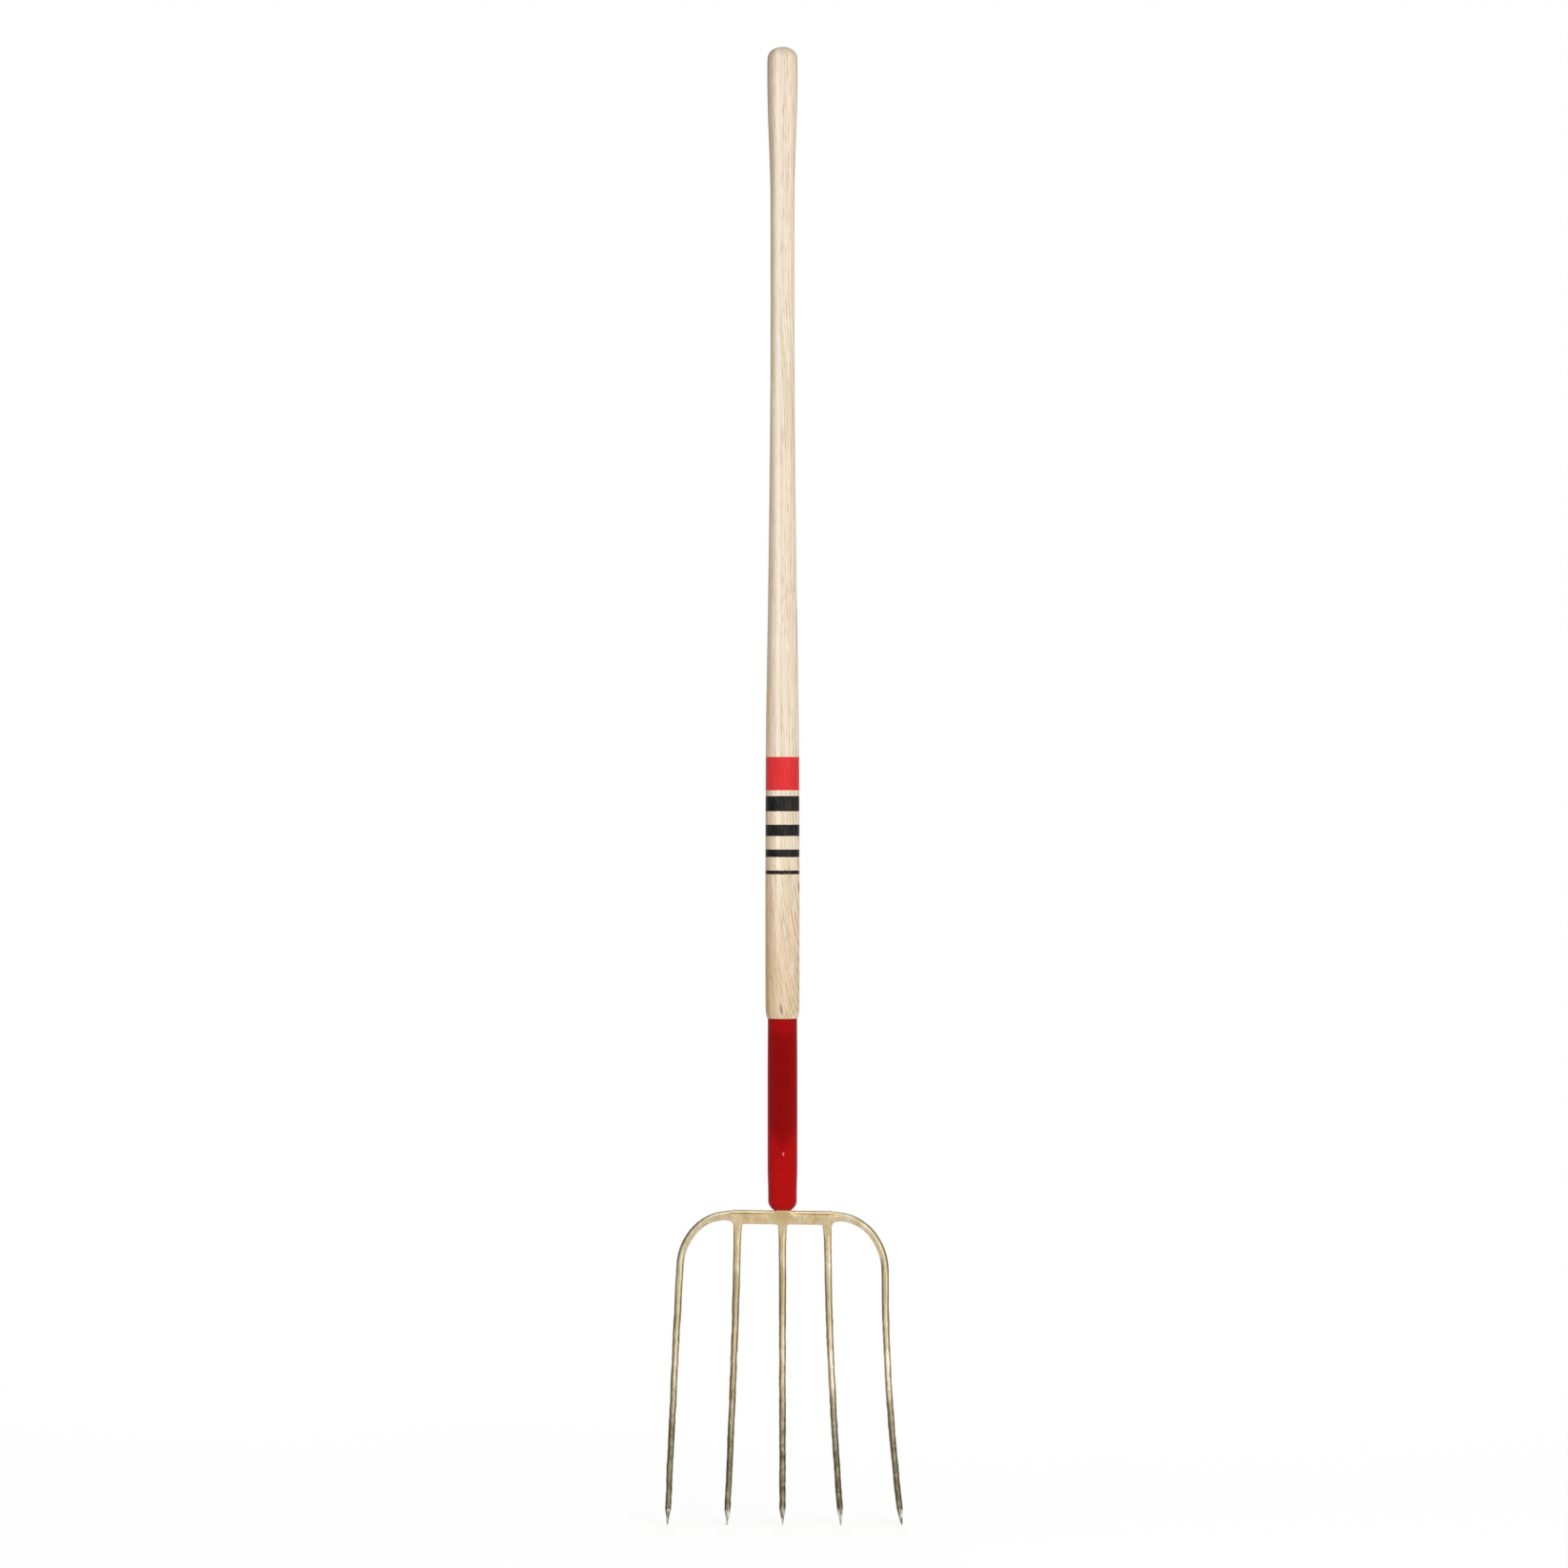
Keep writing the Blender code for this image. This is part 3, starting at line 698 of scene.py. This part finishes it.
def blank(name):
    """A new material, its node tree and its Principled shader."""
    material = bpy.data.materials.new(name)
    material.use_nodes = True
    return material, material.node_tree, material.node_tree.nodes["Principled BSDF"]


# Ash puts on 2 to 3 mm a year. The pith lay beside the blank. The grain leans over from a height downwards,
# wavers, and steps aside once.
PITH = (-0.068, 0.010, 0)
RING_WIDTH = 0.0023
GRAIN_LEAN_START = -0.45
GRAIN_LEAN = 0.29
GRAIN_WAVER = 0.0030
GRAIN_DRIFT = 0.0070
PALE_STREAK = -0.0047
CHECK_PLACE = (-0.0010, -0.0178, LIP + 0.0100)
CHECK_LEAN = -0.17
KNOT_PLACE = (0.0172, -0.0050, LIP + 0.1388)
# Painted bands round the shank: height of the top above the ferrule's lip, width, and tint.
PAINTED_BANDS = [
    (0.2753, 0.0350, "DE2A30"),
    (0.2343, 0.0160, "0E0A09"),
    (0.2043, 0.0120, "0E0A09"),
    (0.1783, 0.0080, "0E0A09"),
    (0.1563, 0.0040, "0E0A09"),
]
BAND_EDGE_WAVER = 0.0012


def varnished_ash():
    """Turned ash under a thin matt varnish.

    Ash is ring porous: each year's ring starts with a coarse, darker band of open pores, which the turning
    cuts into long streaks. They and the fibre are drawn in cells 1 to 1.6 mm wide, several times their real
    width, so that they show. The grain runs straight down the handle and leans over in its lower third. A
    painted red band and four black rings go round the shank. The left side is painted darker, as painted
    shade.
    """
    material, tree, shader = blank("varnished_ash")
    place = add(tree, "TexCoord").outputs["Object"]
    x, y, z = add(tree, "SeparateXYZ", {0: place}).outputs

    # The grain leans further over the further down it is.
    run = add(tree, "Math", {0: GRAIN_LEAN_START, 1: z}, operation="SUBTRACT")
    run = add(tree, "Math", {0: run, 1: 0.0}, operation="MAXIMUM")
    run = add(tree, "Math", {0: run, 1: 2.0}, operation="POWER")
    aside = add(tree, "Math", {0: run, 1: -GRAIN_LEAN, 2: x}, operation="MULTIPLY_ADD")
    waver = stretched_noise(tree, place, (55.56, 55.56, 125), 1.0)
    aside = add(tree, "Math", {0: waver, 1: GRAIN_WAVER, 2: aside}, operation="MULTIPLY_ADD")
    # It also steps aside once, from the grip to 0.2 m below it.
    drift = add(tree, "MapRange", {
        "Value": z, "From Min": 0.03, "From Max": -0.20, "To Max": GRAIN_DRIFT}, **SOFT)
    aside = add(tree, "Math", {0: aside, 1: drift}, operation="SUBTRACT")
    drawn = add(tree, "CombineXYZ", {0: aside, 1: y, 2: z})

    # Rings about the pith, better and worse years, and streaks along the grain.
    level = add(tree, "CombineXYZ", {0: aside, 1: y})
    from_pith = add(tree, "VectorMath", {0: level, 1: PITH}, operation="DISTANCE").outputs["Value"]
    years = add(tree, "Math", {0: from_pith, 1: RING_WIDTH}, operation="DIVIDE")
    year = add(tree, "Math", {0: years}, operation="FRACT")
    early = add(tree, "MapRange", {"Value": year, "From Min": 0.55, "From Max": 0.0}, **SOFT)
    yearly = add(tree, "TexNoise", {"W": years, "Scale": 0.62, "Detail": 0.0}, noise_dimensions="1D")
    broad = stretched_noise(tree, drawn, (5.882, 5.882, 200), 1.0)
    fibre = stretched_noise(tree, drawn, (1.111, 1.111, 45.45), 2.0)
    pore = stretched_noise(tree, drawn, (1.5625, 1.5625, 16.13), 1.0, shift=(3, 7, 1))
    pore = add(tree, "MapRange", {"Value": pore, "From Min": 0.50, "From Max": 0.68}, **SOFT)
    open_wood = add(tree, "Math", {0: early, 1: 0.25}, operation="ADD")
    pore = add(tree, "Math", {0: pore, 1: open_wood}, operation="MULTIPLY", use_clamp=True)

    # Cream late wood, tan early wood, and streaks with a pink or a green cast.
    wood = stain(tree, colour("F6E4CD"), "FDF1DF", yearly, 0.35, 0.65, ramp=EVEN)
    wood = stain(tree, wood, "F4E1D2", broad, 0.52, 0.64)
    wood = stain(tree, wood, "EBE0C4", broad, 0.46, 0.36)
    share = add(tree, "Math", {0: early, 1: 0.42}, operation="MULTIPLY")
    wood = add(tree, "Mix", {0: share, 1: wood, 2: colour("D2B48C")}, data_type="RGBA")
    # The pores take up more dirt towards the ferrule.
    share = add(tree, "MapRange", {
        "Value": z, "From Min": LIP + 0.5688, "From Max": LIP + 0.0688, "To Min": 0.58, "To Max": 0.70})
    share = add(tree, "Math", {0: pore, 1: share}, operation="MULTIPLY")
    wood = add(tree, "Mix", {0: share, 1: wood, 2: colour("B9986F")}, data_type="RGBA")
    wood = stain(tree, wood, "CDB28C", fibre, 0.62, 0.30, 0.35, ramp=EVEN)
    # The left side of the shaft is yellower and darker, partly heartwood and partly painted shade, and the
    # lower end is yellower and darker too.
    low = add(tree, "MapRange", {
        "Value": z, "From Min": LIP + 0.2188, "From Max": LIP + 0.0288, "To Max": 0.40}, **SOFT)
    heart_and_shade = add(tree, "MapRange", {"Value": x, "From Min": -0.0065, "From Max": -0.0175, "To Max": 0.55})
    share = add(tree, "Math", {0: low, 1: heart_and_shade}, operation="ADD", use_clamp=True)
    wood = add(tree, "Mix", {0: share, 1: wood, 2: colour("DFC79F")}, data_type="RGBA",
               blend_type="MULTIPLY")
    # Painted shade: the left side of the shaft is a little darker still, most of all round the grip.
    around = add(tree, "VectorMath", {0: add(tree, "CombineXYZ", {0: x, 1: y})}, operation="NORMALIZE")
    around = add(tree, "VectorMath", {0: around, 1: (-1, 0, 0)}, operation="DOT_PRODUCT")
    around = add(tree, "Math", {0: broad, 1: 0.5, 2: around.outputs["Value"]}, operation="MULTIPLY_ADD")
    share = add(tree, "MapRange", {"Value": around, "From Min": 0.85, "From Max": 1.25}, **SOFT)
    left_edge_shade = add(tree, "MapRange", {
        "Value": z, "From Min": -0.25, "From Max": 0.05, "To Min": 0.15, "To Max": 0.45})
    share = add(tree, "Math", {0: share, 1: left_edge_shade}, operation="MULTIPLY")
    wood = add(tree, "Mix", {0: share, 1: wood, 2: colour("A8977F")}, data_type="RGBA",
               blend_type="MULTIPLY")
    # A pale streak runs down the front, left of the middle, and fades out above the ferrule.
    off_streak = add(tree, "Math", {0: x, 1: PALE_STREAK}, operation="SUBTRACT")
    off_streak = add(tree, "Math", {0: off_streak}, operation="ABSOLUTE")
    pale = add(tree, "MapRange", {
        "Value": off_streak, "From Min": 0.0032, "From Max": 0.0012, "To Max": 0.55}, **SOFT)
    upper = add(tree, "MapRange", {"Value": z, "From Min": LIP + 0.0488, "From Max": LIP + 0.1688})
    pale = add(tree, "Math", {0: pale, 1: upper}, operation="MULTIPLY")
    wood = add(tree, "Mix", {0: pale, 1: wood, 2: colour("FFF6E8")}, data_type="RGBA")
    # The end grain at the top drinks more varnish.
    wood = stain(tree, wood, "C2AA84", z, TOP - 0.0152, TOP + 0.0008, 0.30, blend_type="MULTIPLY")

    # A drying check along the grain above the ferrule, and a small knot at the right.
    near = distance(tree, place, CHECK_PLACE, (1, 3, 6), lean=CHECK_LEAN)
    near = add(tree, "Math", {0: fibre, 1: 0.0012, 2: near}, operation="MULTIPLY_ADD")
    check = add(tree, "MapRange", {
        "Value": near, "From Min": 0.0019, "From Max": 0.0009, "To Max": 0.90}, **SOFT)
    wood = add(tree, "Mix", {0: check, 1: wood, 2: colour("6B5236")}, data_type="RGBA")
    near = distance(tree, place, KNOT_PLACE, (1, 1, 2.2))
    wood = stain(tree, wood, "7A6448", near, 0.0030, 0.0015, 0.80)

    # Paint: its edges waver a little with the masking, and it is thin over the pores.
    edge = add(tree, "Math", {0: fibre, 1: BAND_EDGE_WAVER, 2: z}, operation="MULTIPLY_ADD")
    covered = add(tree, "Math", {0: pore, 1: -0.08, 2: 1.0}, operation="MULTIPLY_ADD")
    painted = 0.0
    for above, width, tint in PAINTED_BANDS:
        middle = LIP + above - width / 2
        band = add(tree, "Math", {0: edge, 1: middle, 2: width / 2}, operation="COMPARE")
        band = add(tree, "Math", {0: band, 1: covered}, operation="MULTIPLY")
        wood = add(tree, "Mix", {0: band, 1: wood, 2: colour(tint)}, data_type="RGBA")
        painted = add(tree, "Math", {0: painted, 1: band}, operation="MAXIMUM")

    rough = add(tree, "MapRange", {"Value": pore, "To Min": 0.42, "To Max": 0.62})
    rough = add(tree, "Math", {0: painted, 1: -0.06, 2: rough}, operation="MULTIPLY_ADD")
    height = add(tree, "Math", {0: pore, 1: -0.8, 2: fibre}, operation="MULTIPLY_ADD")
    height = add(tree, "Math", {0: check, 1: -3.0, 2: height}, operation="MULTIPLY_ADD")
    bump = add(tree, "Bump", {"Height": height, "Strength": 0.5, "Distance": 0.2 * MM})
    feed(tree, shader, {
        "Base Color": wood, "Roughness": rough, "Normal": bump, "Specular IOR Level": 0.30})
    return material


# Where the painted highlight sits on the rivet's front head.
PIN_HIGHLIGHT = RIVET_PLACE + Vector((0.0009, -FERRULE_RADIUS - 0.0008, -0.0003))


def red_enamel():
    """Dipped red enamel on drawn steel: satin, with a faint orange peel.

    Painted light: the red is brighter at the lip, below the rivet and towards the sides, and darker down the
    middle between them, in place of the light and shade the studio gives it. A pale spot on the rivet's
    crown is a painted highlight. Its faint gloss is reddish.
    """
    material, tree, shader = blank("red_enamel")
    place = add(tree, "TexCoord").outputs["Object"]
    x, _, z = add(tree, "SeparateXYZ", {0: place}).outputs
    cloud = add(tree, "TexNoise", {"Vector": place, "Scale": rate(14.286), "Detail": 3.0, "Roughness": 0.55})
    peel = add(tree, "TexNoise", {"Vector": place, "Scale": rate(1.111), "Detail": 2.0})
    # Painted light and shade: brighter below the rivet, at the lip and towards the sides, darker between
    # them.
    # The darker stretch ends lower down at the middle than at the sides.
    off_middle = add(tree, "Math", {0: x}, operation="ABSOLUTE")
    line = add(tree, "Math", {0: off_middle, 1: -1.6, 2: z}, operation="MULTIPLY_ADD")
    line = add(tree, "Math", {0: cloud, 1: 0.010, 2: line}, operation="MULTIPLY_ADD")
    lit_below_rivet = add(tree, "MapRange", {
        "Value": line, "From Min": RIVET_PLACE.z + 0.0278, "From Max": RIVET_PLACE.z - 0.0062}, **SOFT)
    lip = add(tree, "MapRange", {
        "Value": z, "From Min": LIP - 0.0212, "From Max": LIP - 0.0092, "To Max": 0.55}, **SOFT)
    # Painted light: brighter towards the sides.
    sides = add(tree, "MapRange", {
        "Value": off_middle, "From Min": 0.0050, "From Max": 0.0145, "To Max": 0.38})
    painted_light = add(tree, "Math", {0: lit_below_rivet, 1: lip}, operation="MAXIMUM")
    painted_light = add(tree, "Math", {0: painted_light, 1: sides}, operation="MAXIMUM")
    # Painted shade and painted light: dark red where the mask is low, bright red where it is high.
    paint = add(tree, "Mix", {0: painted_light, 1: colour("860B0C"), 2: colour("B21112")}, data_type="RGBA")
    paint = stain(tree, paint, "990C0D", cloud, 0.35, 0.65, 0.30, ramp=EVEN)
    # The rim of the lip is worn dull.
    paint = stain(tree, paint, "6E1412", z, LIP - 0.0012, LIP - 0.0002, 0.35, ramp=EVEN)
    # A painted highlight: a pale pink spot on the crown of the rivet's front head.
    near = distance(tree, place, PIN_HIGHLIGHT, (1, 2.5, 2.4))
    near = add(tree, "Math", {0: peel, 1: 0.0010, 2: near}, operation="MULTIPLY_ADD")
    paint = stain(tree, paint, "F2968E", near, 0.0016, 0.0009, 0.70)
    rough = add(tree, "MapRange", {"Value": cloud, "To Min": 0.30, "To Max": 0.44})
    bump = add(tree, "Bump", {"Height": peel, "Strength": 0.25, "Distance": 0.08 * MM})
    feed(tree, shader, {
        "Base Color": paint, "Roughness": rough, "Normal": bump,
        "Specular IOR Level": 0.11, "Specular Tint": colour("F08070")})
    return material


# Patches down the tines, painted shade where dark and painted highlight where pale: x, y, height from the
# ferrule's bottom, and tint.
PAINTED_REFLECTIONS = [
    (-0.0488, -0.0150, -0.0863, "AD9C74"),
    (-0.0496, -0.0230, -0.1333, "B7A67E"),
    (-0.0505, -0.0340, -0.1783, "AD9C74"),
    (-0.0005, -0.0150, -0.0803, "AD9C74"),
    (0.0508, -0.0320, -0.1703, "F6EACB"),
    (0.1098, -0.0320, -0.1703, "F6EACB"),
]
# How far below the ferrule's bottom the band of painted shade lies.
SHADED_BAND_DOWN = 0.0923


def lacquered_steel():
    """Forged carbon steel, ground along the tines and dipped in a straw-coloured lacquer.

    The lacquer gives it a pale gold, patchy where it ran, over fine grinding marks. The points were ground
    again after the dip, so they are bare and greyer. Painted shade and painted highlights on the tines stand
    in for some of its reflections.
    """
    material, tree, shader = blank("lacquered_steel")
    place = add(tree, "TexCoord").outputs["Object"]
    x, _, z = add(tree, "SeparateXYZ", {0: place}).outputs
    bottom = FERRULE_BOTTOM.z
    marks = stretched_noise(tree, place, (2.941, 2.941, 5), 3.0)
    runs = stretched_noise(tree, place, (9.091, 9.091, 16.667), 3.0)
    streaks = stretched_noise(tree, place, (1.786, 1.786, 25), 1.0)
    specks = add(tree, "TexNoise", {"Vector": place, "Scale": rate(1.923), "Detail": 2.0})
    scale = add(tree, "TexNoise", {"Vector": place, "Scale": rate(6.25), "Detail": 3.0})

    # The bows and the tines took the lacquer thinner, so they are less yellow than the crosshead.
    steel = stain(tree, colour("CDB081"), "DDC8A2", runs, 0.36, 0.64, ramp=EVEN)
    lean = stain(tree, colour("C6B68F"), "DDD3B6", runs, 0.36, 0.64, ramp=EVEN)
    off_middle = add(tree, "Math", {0: x}, operation="ABSOLUTE")
    bow = add(tree, "MapRange", {"Value": off_middle, "From Min": 0.050, "From Max": 0.068})
    thin = add(tree, "MapRange", {"Value": z, "From Min": bottom - 0.0153, "From Max": bottom - 0.0603})
    thin = add(tree, "Math", {0: thin, 1: bow}, operation="MAXIMUM")
    steel = add(tree, "Mix", {0: thin, 1: steel, 2: lean}, data_type="RGBA")
    # Grinding marks, pinkish patches over the mill scale, and the painted shade and highlights.
    steel = stain(tree, steel, "B3A47C", marks, 0.56, 0.36, 0.40, ramp=EVEN)
    steel = stain(tree, steel, "D9BCA4", scale, 0.54, 0.66, 0.45, ramp=EVEN)
    # Painted shade and painted highlights on the tines.
    for *spot, level, tint in PAINTED_REFLECTIONS:
        near = distance(tree, place, (*spot, bottom + level), (1, 3, 5))
        steel = stain(tree, steel, tint, near, 0.0068, 0.0035, 0.80)
    # A band a little below the roots is painted darker, as painted shade, and dust specks stuck to the
    # lacquer.
    off_band = add(tree, "Math", {0: z, 1: SHADED_BAND_DOWN - bottom}, operation="ADD")
    off_band = add(tree, "Math", {0: off_band}, operation="ABSOLUTE")
    steel = stain(tree, steel, "A89770", off_band, 0.034, 0.016, 0.35)
    steel = stain(tree, steel, "83714F", specks, 0.69, 0.78, 0.40, ramp=EVEN)

    # Towards the points the steel is browner and darker: partly the lacquer worn off the mottled, hammered
    # steel, partly painted shade for the darker reflection there.
    worn_and_shaded = add(tree, "MapRange", {
        "Value": z, "From Min": POINTS + 0.1818, "From Max": POINTS + 0.0618, "To Max": 0.95}, **SOFT)
    brown = stain(tree, colour("706249"), "938A6E", runs, 0.40, 0.60, ramp=EVEN)
    brown = stain(tree, brown, "B9AD93", scale, 0.56, 0.70, 0.60, ramp=EVEN)
    steel = add(tree, "Mix", {0: worn_and_shaded, 1: steel, 2: brown}, data_type="RGBA")
    # The points themselves are bare, with streaks left by the grinding.
    ground = add(tree, "Math", {0: scale, 1: 0.004, 2: z}, operation="MULTIPLY_ADD")
    ground = add(tree, "MapRange", {
        "Value": ground, "From Min": POINTS + 0.0188, "From Max": POINTS + 0.0173})
    bare = stain(tree, colour("7C7363"), "CFCABF", streaks, 0.44, 0.58, ramp=EVEN)
    steel = add(tree, "Mix", {0: ground, 1: steel, 2: bare}, data_type="RGBA")

    # The hammered lower part is rougher to the touch and a little duller.
    rough = add(tree, "MapRange", {"Value": marks, "To Min": 0.15, "To Max": 0.30})
    rough = add(tree, "Math", {0: worn_and_shaded, 1: 0.06, 2: rough}, operation="MULTIPLY_ADD")
    hammered = add(tree, "MapRange", {
        "Value": z, "From Min": POINTS + 0.2318, "From Max": POINTS + 0.1318, "To Min": 1.5, "To Max": 7.0})
    height = add(tree, "Math", {0: scale, 1: hammered, 2: marks}, operation="MULTIPLY_ADD")
    bump = add(tree, "Bump", {"Height": height, "Strength": 0.6, "Distance": 0.15 * MM})
    feed(tree, shader, {"Base Color": steel, "Roughness": rough, "Normal": bump, "Metallic": 1.0})
    return material


# ---- studio --------------------------------------------------------------------------------------

PICTURE_SIDE = 1.646
CAMERA_AWAY = 7.0
CAMERA_SENSOR = 36
# The camera aims a little to the right of the fork's middle and below it.
CAMERA_ASIDE = Vector((0.0016, 0, -0.0022))

# Matt surfaces see an even light. Gloss sees a white studio with round patches of other strengths: how far
# each is turned to the right of the front, how high, its half width and how soft its edge is, all in
# degrees, and its strength.
WORLD_LIGHT = 0.47
STUDIO = [
    (180, 60, 62, 8, 0.50),
    (0, 0, 46, 8, 0.90),
    (0, 72, 26, 8, 1.90),
    (-128, 40, 24, 8, 0.22),
    (-78, 40, 13, 6, 1.40),
    (4, 41, 13, 5, 0.35),
    (-96, 12, 45, 10, 0.28),
    (108, 6, 30, 10, 0.28),
    (-26, 24, 9, 5, 1.40),
    (24, 17, 17, 7, 1.75),
]

# Lamps: name, degrees to the right of the front, degrees up, and watts. They face a spot near the fork's
# middle.
LAMPS = [("key", 17, 12, 183), ("fill", -70, 10, 30), ("back", 180, 20, 120)]
LAMP_SIZE = 2.4
LAMP_AWAY = 6.0
LAMPS_FACE = Vector((0, 0, -0.55))

# What the camera sees of the floor is part lit surface, which shows the shadow, and part a glow of its own,
# just strong enough to bring the sum up to white.
FLOOR_SIDE = 3.0
FLOOR_BELOW_POINTS = 0.002
FLOOR_GLOW_SHARE = 0.5
FLOOR_GLOW = 1.26


def make_camera():
    """A long lens seven metres off, level with the fork's middle and square to its working side."""
    low, high = CAD_BOX
    target = Vector(((low.x + high.x) / 2, 0, (low.z + high.z) / 2)) + CAMERA_ASIDE
    data = bpy.data.cameras.new("camera")
    data.sensor_width = CAMERA_SENSOR
    data.lens = CAMERA_AWAY * CAMERA_SENSOR / PICTURE_SIDE
    camera = bpy.data.objects.new("camera", data)
    camera.location = target - Vector((0, CAMERA_AWAY, 0))
    camera.rotation_euler = (math.radians(90), 0, 0)
    bpy.context.scene.collection.objects.link(camera)
    bpy.context.scene.camera = camera


def make_world():
    """Even light all round. The camera sees plain white; gloss sees the white studio with its patches."""
    world = bpy.data.worlds.new("studio")
    world.use_nodes = True
    tree = world.node_tree
    tree.nodes.clear()
    path = add(tree, "LightPath")
    ray = add(tree, "TexCoord").outputs["Generated"]
    gloss = 1.0
    for aside, up, half, soft, strength in STUDIO:
        turn = Matrix.Rotation(math.radians(aside), 3, "Z") @ Matrix.Rotation(math.radians(-up), 3, "X")
        facing = add(tree, "VectorMath", {0: ray, 1: turn @ Vector((0, -1, 0))}, operation="DOT_PRODUCT")
        inside = add(tree, "MapRange", {
            "Value": facing.outputs["Value"],
            "From Min": math.cos(math.radians(half + soft)), "From Max": math.cos(math.radians(half - soft)),
        }, **SOFT)
        gloss = add(tree, "Mix", {0: inside, 1: gloss, 2: strength}, data_type="FLOAT")
    clear = add(tree, "Math", {
        0: path.outputs["Is Camera Ray"], 1: path.outputs["Is Transmission Ray"]}, operation="MAXIMUM")
    strength = add(tree, "Mix", {
        0: path.outputs["Is Glossy Ray"], 1: WORLD_LIGHT, 2: gloss}, data_type="FLOAT")
    strength = add(tree, "Mix", {0: clear, 1: strength, 2: 1.0}, data_type="FLOAT")
    shine = add(tree, "Background", {"Color": colour("FFFFFF"), "Strength": strength})
    add(tree, "OutputWorld", {"Surface": shine})
    bpy.context.scene.world = world


def make_lamp(name, aside, up, power):
    """A soft round lamp, turned to the right of the front and raised by so many degrees."""
    data = bpy.data.lights.new(name, "AREA")
    data.shape = "DISK"
    data.size = LAMP_SIZE
    data.energy = power
    lamp = bpy.data.objects.new(name, data)
    turn = Matrix.Rotation(math.radians(aside), 4, "Z") @ Matrix.Rotation(math.radians(90 - up), 4, "X")
    lamp.matrix_world = Matrix.Translation(LAMPS_FACE) @ turn @ Matrix.Translation((0, 0, LAMP_AWAY))
    lamp.visible_glossy = False
    bpy.context.scene.collection.objects.link(lamp)


def make_floor():
    """A pale floor just below the points. The camera sees plain white and the shadow, gloss plain white."""
    shape = bmesh.new()
    place = Matrix.Translation((0, 0, POINTS - FLOOR_BELOW_POINTS))
    bmesh.ops.create_grid(shape, x_segments=1, y_segments=1, size=FLOOR_SIDE / 2, matrix=place)
    mesh = bpy.data.meshes.new("floor")
    shape.to_mesh(mesh)
    shape.free()
    material, tree, shader = blank("pale_floor")
    feed(tree, shader, {"Base Color": colour("FAFAFA"), "Roughness": 0.9})
    path = add(tree, "LightPath")
    seen = path.outputs["Is Camera Ray"]
    strength = add(tree, "Mix", {0: seen, 1: 1.0, 2: FLOOR_GLOW}, data_type="FLOAT")
    white = add(tree, "Emission", {"Color": colour("FFFFFF"), "Strength": strength})
    share = add(tree, "Math", {0: seen, 1: FLOOR_GLOW_SHARE}, operation="MULTIPLY")
    for kind in ("Is Glossy Ray", "Is Transmission Ray"):
        share = add(tree, "Math", {0: share, 1: path.outputs[kind]}, operation="MAXIMUM")
    mixed = add(tree, "MixShader", {0: share, 1: shader, 2: white})
    feed(tree, tree.nodes["Material Output"], {"Surface": mixed})
    mesh.materials.append(material)
    floor = bpy.data.objects.new("floor", mesh)
    bpy.context.scene.collection.objects.link(floor)


# ---- the fork ------------------------------------------------------------------------------------

bpy.context.scene.view_settings.view_transform = "Standard"
make_camera()
make_world()
make_floor()
for lamp in LAMPS:
    make_lamp(*lamp)

noise.seed_set(WAVER_SEED)
ash = varnished_ash()
enamel = red_enamel()
steel = lacquered_steel()
make_handle(ash)
make_ferrule(enamel)
make_rivet(enamel)
make_head(steel)
